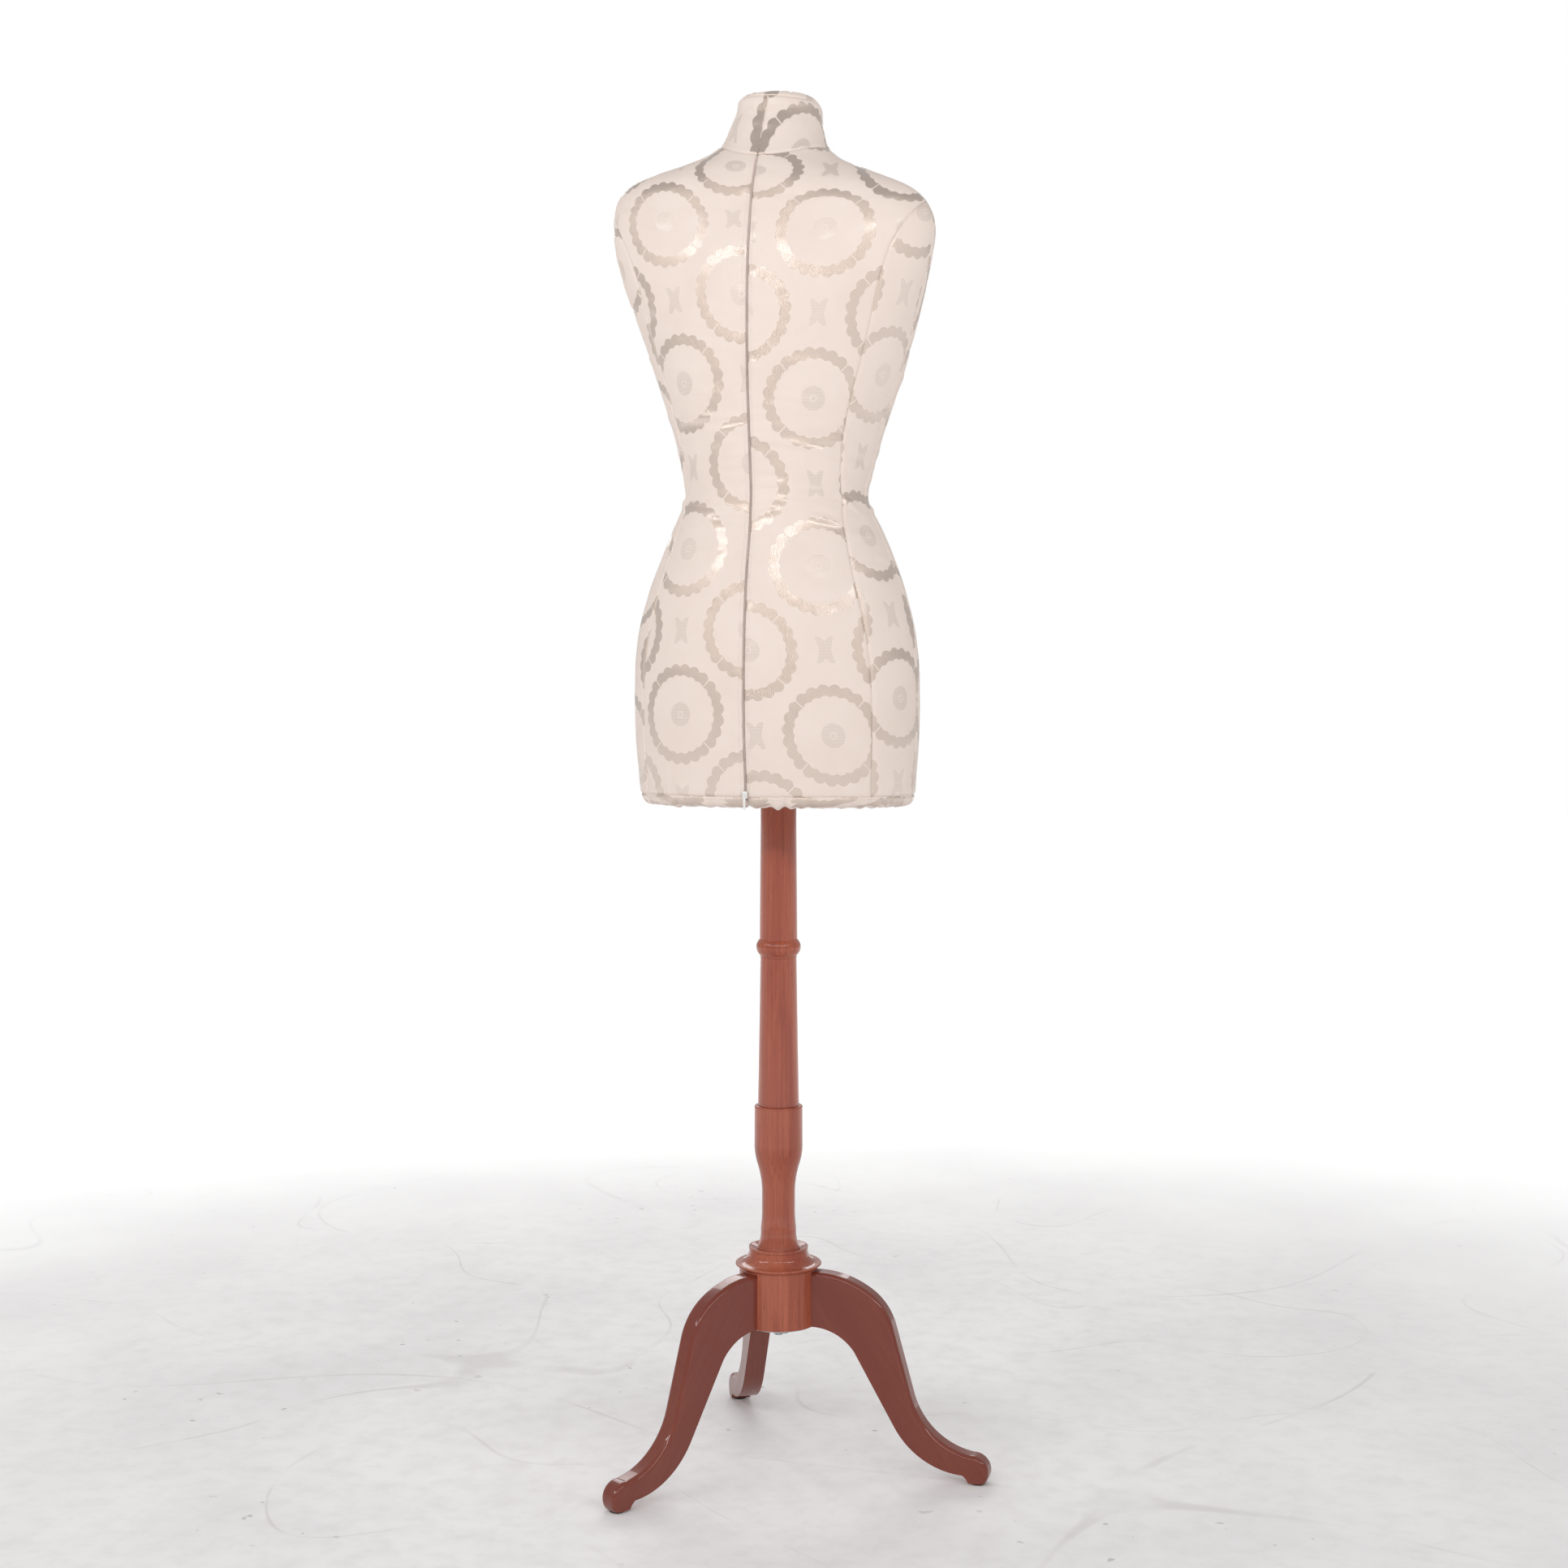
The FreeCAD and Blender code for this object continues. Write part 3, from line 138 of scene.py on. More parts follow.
# Closed curves from the hem up, in millimetres: height at the sides, at the back and at the front,
# half width, widest line (Y), back (Y), front (Y), and how square the curve is (2 is an ellipse).
SECTIONS = {
    "hem_curl": (757.0, 757.0, 757.0, 146.5, 6.0, 103.0, -92.0, 2.10),
    "hem_edge": (759.6, 759.6, 759.6, 155.0, 6.0, 111.6, -100.5, 2.12),
    "hem": (766.5, 766.5, 766.5, 159.0, 6.0, 116.0, -104.3, 2.14),
    "seat_low": (785.0, 785.0, 785.0, 161.6, 6.5, 119.4, -106.8, 2.16),
    "seat": (835.0, 835.0, 835.0, 165.0, 7.0, 124.3, -108.2, 2.18),
    "hip": (885.0, 885.0, 885.0, 166.0, 8.0, 126.0, -107.5, 2.18),
    "hip_high": (935.0, 935.0, 935.0, 163.8, 8.5, 124.6, -104.5, 2.16),
    "belly": (980.0, 980.0, 980.0, 155.4, 7.0, 120.8, -99.0, 2.14),
    "belly_high": (1020.0, 1020.0, 1020.0, 143.2, 4.0, 114.6, -93.0, 2.12),
    "flank": (1055.0, 1055.0, 1055.0, 129.0, 2.0, 107.2, -87.5, 2.10),
    "waist_low": (1084.0, 1084.0, 1084.0, 115.0, 4.0, 102.0, -83.8, 2.10),
    "waist": (1105.0, 1105.0, 1105.0, 105.8, 6.0, 100.2, -82.4, 2.10),
    "waist_high": (1128.0, 1128.0, 1128.0, 108.0, 3.0, 101.8, -83.2, 2.10),
    "ribs": (1170.0, 1170.0, 1170.0, 118.4, -3.0, 106.6, -87.6, 2.12),
    "ribs_high": (1215.0, 1215.0, 1215.0, 132.6, -6.0, 111.4, -95.5, 2.14),
    "bust_low": (1255.0, 1255.0, 1255.0, 146.4, -5.0, 114.0, -104.0, 2.16),
    "bust": (1300.0, 1300.0, 1300.0, 161.0, 3.0, 114.9, -107.0, 2.16),
    "chest": (1345.0, 1345.0, 1345.0, 176.2, 14.0, 113.4, -101.0, 2.14),
    "armhole": (1385.0, 1385.0, 1382.0, 187.0, 23.0, 109.6, -93.5, 2.10),
    "armhole_high": (1416.0, 1412.0, 1404.0, 190.6, 27.0, 104.6, -87.0, 2.06),
    "shoulder": (1438.0, 1430.0, 1419.0, 186.6, 27.0, 100.6, -82.0, 2.02),
    "shoulder_high": (1453.0, 1443.0, 1428.0, 177.0, 26.0, 97.2, -78.2, 2.00),
    "shoulder_top": (1463.5, 1453.0, 1435.0, 162.0, 24.0, 94.0, -75.0, 2.00),
    "yoke": (1475.5, 1463.0, 1441.0, 132.0, 19.5, 90.0, -71.5, 2.00),
    "yoke_high": (1487.0, 1473.0, 1446.0, 101.0, 15.0, 85.6, -68.0, 2.00),
    "collar_line": (1498.0, 1481.0, 1450.0, 77.0, 11.0, 81.2, -65.0, 2.00),
    "neck_base": (1509.0, 1488.0, 1454.0, 63.8, 8.0, 76.8, -62.8, 2.00),
    "neck_low": (1523.0, 1506.0, 1476.0, 56.6, 4.0, 66.6, -62.6, 2.00),
    "neck": (1539.0, 1530.0, 1509.0, 51.6, -1.0, 56.4, -62.2, 2.00),
    "neck_high": (1555.0, 1550.0, 1539.0, 48.6, -6.0, 48.4, -61.4, 2.00),
    "neck_rim": (1564.0, 1562.5, 1559.0, 46.6, -8.0, 44.2, -60.0, 2.00),
    "neck_top": (1568.0, 1568.0, 1568.0, 40.0, -8.5, 37.0, -53.5, 2.00),
}
ON_HIP_ARC = ("seat_low", "seat", "hip", "hip_high", "belly", "belly_high")
HIP_ARC = {"radius": 812.0, "height": 888.0, "back": 126.0}
SLANT = {"rise": 0.075, "start": 1370.0, "full": 1450.0, "end": 1568.0}
BUST = {"height": 1286.0, "spacing": 76.0, "fullness": 17.0, "spread": 40.0, "rise": 56.0}

# Columns of the skin run twice round the form from the middle of its front, so that a panel may
# cross the starting line.
STEPS = 1440
QUARTER = STEPS // 4
TURNS = np.arange(2 * STEPS + 1) * (2 * math.pi / STEPS) - math.pi / 2


def signed_power(numbers, exponent):
    """The numbers' sizes raised to the exponent, with their own signs."""
    return np.copysign(np.abs(numbers) ** exponent, numbers)


def section_curve(name):
    """One closed curve: a superellipse whose height eases from its sides to its back and front, that
    leans towards the form's right at the shoulders and swells over the bust."""
    side, rear, fore, half, widest, back, front, squareness = SECTIONS[name]
    if name in ON_HIP_ARC:
        rise = rear - HIP_ARC["height"]
        back = HIP_ARC["back"] - HIP_ARC["radius"] + math.sqrt(HIP_ARC["radius"] ** 2 - rise ** 2)
    across = signed_power(np.cos(TURNS), 2 / squareness)
    along = signed_power(np.sin(TURNS), 2 / squareness)
    end = np.where(along > 0, rear, fore)
    height = side * np.cos(TURNS) ** 2 + end * np.sin(TURNS) ** 2
    x = half * across
    y = widest + np.where(along > 0, back - widest, widest - front) * along
    grown = np.clip((height - SLANT["start"]) / (SLANT["full"] - SLANT["start"]), 0, 1)
    height = height + x * SLANT["rise"] * grown * grown * (3 - 2 * grown) * (height < SLANT["end"])
    apex = np.exp(-((np.abs(x) - BUST["spacing"]) / BUST["spread"]) ** 2)
    level = np.exp(-((height - BUST["height"]) / BUST["rise"]) ** 2)
    y = y - BUST["fullness"] * apex * level * np.clip(-along, 0, None)
    return np.stack([x, y, height], -1) * MM


def spline_weights(knots, samples):
    """Weights that carry values at the knots to the samples along a natural cubic spline."""
    gap = np.diff(knots)
    count = len(knots)
    inner = np.arange(1, count - 1)
    bend = np.eye(count)
    bend[inner, inner - 1] = gap[:-1]
    bend[inner, inner] = 2 * (gap[:-1] + gap[1:])
    bend[inner, inner + 1] = gap[1:]
    pull = np.zeros((count, count))
    pull[inner, inner - 1] = 6 / gap[:-1]
    pull[inner, inner] = -6 / gap[:-1] - 6 / gap[1:]
    pull[inner, inner + 1] = 6 / gap[1:]
    curvature = np.linalg.solve(bend, pull)
    cell = np.clip(np.searchsorted(knots, samples, side="right") - 1, 0, count - 2)
    width = gap[cell]
    ahead = (samples - knots[cell]) / width
    behind = 1 - ahead
    weights = ((behind ** 3 - behind) * width ** 2 / 6)[:, None] * curvature[cell]
    weights += ((ahead ** 3 - ahead) * width ** 2 / 6)[:, None] * curvature[cell + 1]
    rows = np.arange(len(samples))
    weights[rows, cell] += behind
    weights[rows, cell + 1] += ahead
    return weights


def smooth_line(points, at):
    """A smooth line through (value, height) points in millimetres, read at heights in metres."""
    values, heights = (np.array(part) * MM for part in zip(*points))
    flat = np.ravel(at)
    dense = np.linspace(heights[0], heights[-1], 400)
    line = spline_weights(heights, dense) @ values
    return np.interp(flat, dense, line).reshape(np.shape(at))


RINGS = np.stack([section_curve(name) for name in SECTIONS])
LEVELS = np.concatenate([[0], np.cumsum(np.linalg.norm(np.diff(RINGS, axis=0), axis=-1).mean(1))])
LEVEL = dict(zip(SECTIONS, LEVELS))


def skin_rows(levels):
    """Rows of skin points at the levels: a natural spline up through the closed curves."""
    flat = RINGS.reshape(len(RINGS), -1)
    return (spline_weights(LEVELS, levels) @ flat).reshape(len(levels), -1, 3)


class Skin:
    """The skin at some levels: points, outward normals and distance round each row, by column."""

    def __init__(self, levels):
        step = 0.5 * MM
        self.levels = levels
        self.points = skin_rows(levels)
        rise = skin_rows(np.minimum(levels + step, LEVELS[-1])) - skin_rows(np.maximum(levels - step, 0))
        run = np.gradient(self.points, axis=1)
        run[:, 0] = run[:, STEPS]
        run[:, -1] = run[:, STEPS]
        normals = np.cross(run, rise)
        self.normals = normals / np.linalg.norm(normals, axis=-1, keepdims=True)
        steps = np.linalg.norm(np.diff(self.points, axis=1), axis=-1)
        self.arcs = np.concatenate([np.zeros((len(levels), 1)), np.cumsum(steps, axis=1)], axis=1)

    def sample(self, table, places):
        """Values of a table (rows, columns, ...) at fractional columns, by straight interpolation."""
        low = np.clip(places.astype(int), 0, 2 * STEPS - 1)
        rows = np.arange(len(places))[:, None]
        share = places - low
        if table.ndim == 3:
            share = share[..., None]
        return table[rows, low] * (1 - share) + table[rows, low + 1] * share

    def places_at(self, arcs):
        """Fractional columns that lie the given distances round each row."""
        lift = (self.arcs[:, -1].max() + 1) * np.arange(len(arcs))[:, None]
        columns = np.arange(2 * STEPS + 1) + np.zeros_like(self.arcs)
        places = np.interp((arcs + lift).ravel(), (self.arcs + lift).ravel(), columns.ravel())
        return places.reshape(arcs.shape)

    def crossing(self, values, first, last, otherwise):
        """The fractional column of each row where the values pass zero between two columns."""
        part = values[:, first:last + 1]
        passed = np.signbit(part[:, 1:]) != np.signbit(part[:, :-1])
        step = passed.argmax(1)
        rows = np.arange(len(part))
        low, high = part[rows, step], part[rows, step + 1]
        found = first + step + low / np.where(low == high, 1, low - high)
        return np.where(passed.any(1), found, otherwise)


# ---------------------------------------------------------------------------------------------
# Seams
# ---------------------------------------------------------------------------------------------

# The side and shoulder seams, as (Y, Z); the princess seams, as (distance from the middle, Z).
SIDE_SEAM = ((6, 740), (8, 885), (6, 1105), (-4, 1215), (3, 1300), (23, 1385), (27, 1430),
             (24, 1463.5), (8, 1509), (8, 1600))
BACK_SEAM = ((130, 740), (135, 860), (131, 932), (101, 1059), (92, 1114), (102, 1194), (124, 1272),
             (141, 1338), (154, 1378), (168, 1405), (184, 1432), (200, 1465))
FRONT_SEAM = ((92, 740), (94, 885), (78, 1040), (62, 1110), (72, 1220), (78, 1290), (88, 1380), (100, 1500))
ZIP_HALF_GAP = 0.0013


def back_middle(skin, side, offset=0.0):
    """Columns along the middle of the back, offset towards the left (side 1) or right (side -1)."""
    middle = 2 * QUARTER
    arc = skin.arcs[:, middle] - side * offset
    return skin.places_at(arc[:, None])[:, 0]


def side_seam(skin, side):
    """Columns along the side seam, which carries on over the shoulder to the neck."""
    values = skin.points[..., 1] - smooth_line(SIDE_SEAM, skin.points[..., 2])
    middle = QUARTER if side > 0 else 3 * QUARTER
    return skin.crossing(values, middle - QUARTER // 2, middle + QUARTER // 2, middle)


def princess_seam(skin, side, line, rear):
    """Columns along the seam that runs down a back or front, no further out than the side seam."""
    values = side * skin.points[..., 0] - smooth_line(line, skin.points[..., 2])
    first = {(1, True): QUARTER, (-1, True): 2 * QUARTER, (1, False): 0, (-1, False): 3 * QUARTER}[side, rear]
    edge = side_seam(skin, side)
    seam = skin.crossing(values, first, first + QUARTER, edge)
    return np.maximum(seam, edge) if (side > 0) == rear else np.minimum(seam, edge)


# ---------------------------------------------------------------------------------------------
# Relief of the cloth: drag folds at the waist, puckers along the zip, gathers at the hem
# ---------------------------------------------------------------------------------------------

# Soft folds: distance from the zip towards the form's left, height, half length, half width, rise
# (all millimetres) and slope.
DRAG_FOLDS = (
    (52, 1192, 42, 6.0, 1.5, 0.04), (22, 1178, 24, 5.0, 1.3, -0.10), (60, 1168, 40, 8.0, 0.8, 0.05),
    (24, 1150, 22, 5.5, 0.9, -0.12), (22, 1138, 26, 5.0, 1.3, 0.00), (70, 1128, 40, 8.0, 0.7, 0.08),
    (38, 1119, 32, 6.0, 0.7, -0.06), (66, 1094, 36, 6.0, 1.4, 0.10), (30, 1077, 30, 6.0, 0.8, 0.12),
    (-16, 1164, 18, 5.0, 1.5, 0.22), (-54, 1158, 36, 6.5, 1.4, 0.20), (-58, 1143, 30, 6.0, 0.7, 0.10),
    (-22, 1134, 22, 5.5, 0.9, -0.06), (-20, 1116, 18, 5.0, 1.2, 0.05), (-66, 1109, 28, 5.5, 0.9, 0.02),
    (-55, 1094, 42, 6.0, 1.4, 0.14), (-20, 1085, 20, 5.0, 0.9, -0.15), (-80, 1078, 24, 5.0, 1.2, 0.25),
    (-30, 1200, 34, 7.0, 0.9, 0.10), (-66, 1206, 30, 6.0, 0.9, 0.18), (34, 1216, 40, 7.0, 0.8, 0.08),
    (-115, 1098, 16, 5.0, 1.6, 0.55), (-120, 1140, 24, 6.0, 0.8, 0.20), (-126, 1180, 26, 6.0, 0.9, 0.15),
    (112, 1104, 22, 6.0, 1.2, -0.30), (118, 1160, 26, 7.0, 1.0, -0.15), (122, 1200, 26, 7.0, 0.9, -0.10),
    (86, 1246, 36, 8.0, 0.8, 0.05), (-72, 1246, 36, 8.0, 0.6, 0.12), (128, 1320, 26, 9.0, 0.8, 0.2),
)
RANDOM = np.random.default_rng(11)
# Smaller folds lie among them, this many, at random places.
COUNT = 90
SMALL_FOLDS = np.stack([
    RANDOM.uniform(-250, 250, COUNT), RANDOM.normal(1135, 52, COUNT), RANDOM.uniform(14, 40, COUNT),
    RANDOM.uniform(4, 8, COUNT), RANDOM.uniform(0.25, 0.7, COUNT), RANDOM.uniform(-0.15, 0.15, COUNT)], -1)
FOLDS = np.concatenate([np.array(DRAG_FOLDS), SMALL_FOLDS])
FOLDS[:, :5] *= MM
FOLD_STRENGTH = 1.3


def drag_folds(across, height):
    """Each fold is a bell along its run times a ridge with a shallow valley on either side of it."""
    relief = np.zeros_like(across)
    for middle, level, reach, width, rise, slope in FOLDS:
        along = (across - middle) / reach
        over = (height - level - slope * (across - middle)) / width
        relief += FOLD_STRENGTH * rise * np.exp(-along ** 2) * (1 - 0.9 * over ** 2) * np.exp(-over ** 2)
    return relief


def waves(points, count, shortest, longest, seed):
    """A sum of plane waves through space with seeded directions and phases, about 1 high at most."""
    dice = np.random.default_rng(seed)
    total = np.zeros(points.shape[:-1])
    for _ in range(count):
        heading = dice.normal(size=3)
        heading *= 2 * math.pi / dice.uniform(shortest, longest) / np.linalg.norm(heading)
        total += np.sin(points @ heading + dice.uniform(0, 2 * math.pi))
    return total / math.sqrt(2 * count)


PUCKER_RISE = 0.55 * MM
PUCKER_PITCH = 0.021
PUCKER_REACH = 0.011
PUCKER_START = 0.0022


def zip_puckers(across, height):
    """The stitched zip shortens the cloth a little, so it ripples beside it: a sine up the zip with a
    drifting phase, that starts at the zip's edge and dies away over a bell."""
    ripple = np.sin(2 * math.pi * height / PUCKER_PITCH + 1.6 * np.sin(height * 41) + 2.0 * np.sign(across))
    dying = np.exp(-(np.abs(across) / PUCKER_REACH) ** 2)
    return PUCKER_RISE * ripple * dying * (1 - np.exp(-(across / PUCKER_START) ** 2))


HEM_LINE = 0.769
HEM_WAVES = (37, 46, 53, 61, 68, 74)
GATHER_RISE = 0.35 * MM


def hem_gathers(turn, height):
    """Gathers of the elastic hem: waves round the form that grow towards its edge, larger near the
    end of the zip."""
    dice = np.random.default_rng(5)
    ripple = np.zeros_like(turn)
    for number in HEM_WAVES:
        ripple += dice.uniform(0.5, 1.0) * np.sin(number * turn + dice.uniform(0, 2 * math.pi))
    near_zip = 1 + 0.5 * np.exp(-((turn - math.radians(95)) / 0.16) ** 2)
    below = np.clip((HEM_LINE - height) / 0.010, 0, 1)
    above = np.exp(-np.clip(height - HEM_LINE, 0, None) / 0.012)
    return GATHER_RISE * ripple * near_zip * (0.5 * above + 0.9 * below)


FLAT_BY_ZIP = 0.0038


def relief_at(across, points, turn):
    """How far the cloth stands off the skin.  It lies close beside the zip, clear of the slider."""
    height = points[..., 2]
    relief = drag_folds(across, height) + 0.35 * MM * waves(points, 14, 0.03, 0.11, 3)
    relief += 0.12 * MM * waves(points, 20, 0.012, 0.03, 4)
    relief += zip_puckers(across, height) + hem_gathers(turn, height)
    return relief * (1 - 0.8 * np.exp(-(across / FLAT_BY_ZIP) ** 2))


# ---------------------------------------------------------------------------------------------
# Cover panels
# ---------------------------------------------------------------------------------------------

CLOTH = 0.0012
GROOVE_DEPTH = 0.0014
GROOVE_WIDTH = 0.0016
EDGE_STEPS = np.array([0, 0.5, 1.1, 1.9, 3.0, 4.6]) * MM
COLUMN_STEP = 0.0026
ROW_STEP = 0.0026


def with_edges(length, step):
    """Distances from 0 to a length, close together at both ends and even between them."""
    inner = np.linspace(EDGE_STEPS[-1], length - EDGE_STEPS[-1], max(3, round(length / step)))
    return np.concatenate([EDGE_STEPS[:-1], inner, length - EDGE_STEPS[-2::-1]])


def spread(widths, step):
    """Distances across rows of different widths, with one count of columns for them all."""
    full = with_edges(widths.max(), step) / widths.max()
    edge = EDGE_STEPS[:-1]
    count = len(full)
    inner = np.linspace(0, 1, count - 2 * len(edge))
    squeeze = np.minimum(1, widths / (3 * EDGE_STEPS[-1]))[:, None]
    near = EDGE_STEPS[-1] * squeeze
    middle = near + (widths[:, None] - 2 * near) * inner
    return np.concatenate([edge * squeeze, middle, widths[:, None] - edge[::-1] * squeeze], axis=1)


def ridge(distance):
    """The shape of a seam's groove against distance from the seam: a bell."""
    return np.exp(-(distance / GROOVE_WIDTH) ** 2)


class Panel:
    """A cut piece of the cover: its grid of skin points between two seams, and where the cloth lies."""

    def __init__(self, levels, starts, stops, grooves=(1, 1, 1, 1)):
        skin = Skin(levels)
        first, last = starts(skin), stops(skin)
        arc_first = skin.sample(skin.arcs, first[:, None])
        arc_last = skin.sample(skin.arcs, last[:, None])
        across = spread((arc_last - arc_first)[:, 0], COLUMN_STEP)
        places = skin.places_at(arc_first + across)
        self.points = skin.sample(skin.points, places)
        normals = skin.sample(skin.normals, places)
        self.normals = normals / np.linalg.norm(normals, axis=-1, keepdims=True)
        round_trip = skin.arcs[:, STEPS, None]
        from_zip = skin.arcs[:, 2 * QUARTER, None] - (arc_first + across)
        self.from_zip = (from_zip + round_trip / 2) % round_trip - round_trip / 2
        self.turn = places * (2 * math.pi / STEPS) - math.pi / 2
        self.width = (arc_last - arc_first)
        self.across = across
        up = np.linalg.norm(np.diff(self.points, axis=0), axis=-1)
        column = up[:, up.shape[1] // 2]
        self.up = np.concatenate([[0], np.cumsum(column)])
        self.flat_area = float((self.width[:-1, 0] * column).sum())
        left, right, bottom, top = grooves
        rows = self.up[:, None]
        self.groove = np.maximum.reduce([
            left * ridge(across), right * ridge(self.width - across),
            bottom * ridge(rows + 0 * across), top * ridge(self.up[-1] - rows + 0 * across)])

    def surfaces(self, relief):
        """The cloth's outer and inner face, with the seam allowance turned in at its edges."""
        stand = relief - GROOVE_DEPTH * self.groove
        outer = self.points + self.normals * stand[..., None]
        inner = outer - self.normals * CLOTH
        return outer, inner

    def uvs(self, grain, start, drift=()):
        """Pattern coordinates in metres: across from a grain line at a share of the width, and up.
        The grain line drifts sideways with height where the seam beside it is shaped."""
        shift = smooth_drift(drift, self.up) if drift else 0 * self.up
        u = self.across - grain * self.width + (start[0] * MM + shift)[:, None]
        v = self.up[:, None] + start[1] * MM + 0 * u
        return np.stack([-u, v], -1)


def smooth_drift(points, at):
    """A smooth run through (height up the panel, sideways shift) points, in millimetres."""
    heights, shifts = (np.array(part) * MM for part in zip(*points))
    return spline_weights(heights, np.clip(at, heights[0], heights[-1])) @ shifts


def level_at_height(height):
    """The level of the hip rows that lie at a height."""
    return float(np.interp(height, RINGS[:12, QUARTER, 2], LEVELS[:12]))


HEM_LEVEL = level_at_height(HEM_LINE)
NECK_LEVEL = LEVEL["neck_base"]
RIM_LEVEL = LEVEL["neck_rim"]


def trunk_levels(top=NECK_LEVEL):
    """Levels of the panels' rows, from the hem's stitch line up."""
    return HEM_LEVEL + with_edges(top - HEM_LEVEL, ROW_STEP)


def seam_tip(side, line, rear):
    """The level where a princess seam runs out into the side seam."""
    levels = np.linspace(LEVEL["chest"], NECK_LEVEL, 500)
    skin = Skin(levels)
    reach = np.abs(skin.sample(skin.arcs, princess_seam(skin, side, line, rear)[:, None])
                   - skin.sample(skin.arcs, side_seam(skin, side)[:, None]))[:, 0]
    closed = reach < 2.5 * MM
    return float(levels[closed.argmax()]) if closed.any() else NECK_LEVEL


def dress(name, node, panel, uvs):
    """Make one panel's piece, give it the jacquard, let it ride on the form and hide the part it stands for.
    """
    relief = relief_at(panel.from_zip, panel.points, panel.turn)
    outer, inner = panel.surfaces(relief)
    piece = cloth_shell(name, outer, inner, uvs)
    piece.data.materials.append(jacquard)
    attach(piece, "form")
    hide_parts(node)
    return piece


# ---------------------------------------------------------------------------------------------
# Materials
# ---------------------------------------------------------------------------------------------


class Graph:
    """Adds nodes to one node tree and joins them up."""

    def __init__(self, tree):
        self.tree = tree

    def put(self, socket, value):
        """Join an output to a socket, or set the socket's own value."""
        if isinstance(value, bpy.types.NodeSocket):
            self.tree.links.new(value, socket)
        else:
            socket.default_value = value

    def add(self, kind, sockets=None, **settings):
        """A new node with its settings and sockets set."""
        node = self.tree.nodes.new(kind)
        for key, value in settings.items():
            setattr(node, key, value)
        for key, value in (sockets or {}).items():
            self.put(node.inputs[key], value)
        return node

    def math(self, operation, *values, clamp=False):
        """The output of a Math node."""
        node = self.add("ShaderNodeMath", dict(enumerate(values)), operation=operation, use_clamp=clamp)
        return node.outputs[0]

    def vector(self, operation, *values):
        """The vector output of a Vector Math node."""
        return self.add("ShaderNodeVectorMath", dict(enumerate(values)), operation=operation).outputs[0]

    def mix(self, share, first, second):
        """A colour between two colours."""
        node = self.add("ShaderNodeMix", data_type="RGBA")
        self.put(node.inputs["Factor"], share)
        self.put(node.inputs[6], first)
        self.put(node.inputs[7], second)
        return node.outputs[2]

    def noise(self, place, scale, detail=4.0, roughness=0.5, distortion=0.0):
        """The value of a noise texture."""
        sockets = {"Vector": place, "Scale": scale, "Detail": detail, "Roughness": roughness,
                   "Distortion": distortion}
        return self.add("ShaderNodeTexNoise", sockets).outputs[0]

    def range(self, value, low, high, to_low=0.0, to_high=1.0, smooth=False):
        """The value carried from one range to another."""
        node = self.add("ShaderNodeMapRange", {0: value, 1: low, 2: high, 3: to_low, 4: to_high},
                        interpolation_type="SMOOTHSTEP" if smooth else "LINEAR")
        return node.outputs[0]


def new_group(name, inputs, outputs):
    """An empty shader group, its graph, the group's inputs and a function that sets its outputs."""
    tree = bpy.data.node_groups.new(name, "ShaderNodeTree")
    for label, kind, value in inputs:
        socket = tree.interface.new_socket(label, in_out="INPUT", socket_type=kind)
        if value is not None:
            socket.default_value = value
    for label, kind in outputs:
        tree.interface.new_socket(label, in_out="OUTPUT", socket_type=kind)
    graph = Graph(tree)
    entry = tree.nodes.new("NodeGroupInput")
    leave = tree.nodes.new("NodeGroupOutput")
    return tree, graph, entry.outputs, leave.inputs


def use_group(graph, tree, sockets):
    """The outputs of a group placed in a graph."""
    node = graph.add("ShaderNodeGroup", node_tree=tree)
    for key, value in sockets.items():
        graph.put(node.inputs[key], value)
    return node.outputs


def new_material(name):
    """A material with one Principled BSDF, and its graph."""
    material = bpy.data.materials.new(name)
    material.use_nodes = True
    graph = Graph(material.node_tree)
    shader = material.node_tree.nodes["Principled BSDF"]
    return material, graph, shader


def set_shader(graph, shader, **values):
    """Set or join the shader's sockets, named with underscores for spaces."""
    for key, value in values.items():
        graph.put(shader.inputs[key.replace("_", " ")], value)


def bump(graph, height, distance, strength=1.0):
    """The normal of a Bump node."""
    sockets = {"Height": height, "Distance": distance, "Strength": strength}
    return graph.add("ShaderNodeBump", sockets).outputs[0]


# The woven pattern, in metres: medallions in columns, each second column half a repeat higher.
REPEAT = (0.172, 0.188)
MEDALLION = {"outer": 0.0568, "inner": 0.0420, "lobes": 24, "outer_lobe": 0.0036, "inner_lobe": 0.0020,
             "disc": 0.0140, "disc_lobe": 0.0010, "dot": 0.0034, "dot_line": (0.0005, 0.0010),
             "tick": (0.0006, 0.0013), "edge": 0.0004}
BOW_TIE = {"waist": 0.0066, "flare": 0.25, "side": (0.0104, 0.0100), "end": (0.0150, 0.0146),
           "notch": 0.0092}
SATIN_PITCH = 0.00172
SATIN_SLANT = 0.34
LINE_PITCH = 0.0021
THREAD_PITCH = 0.00062


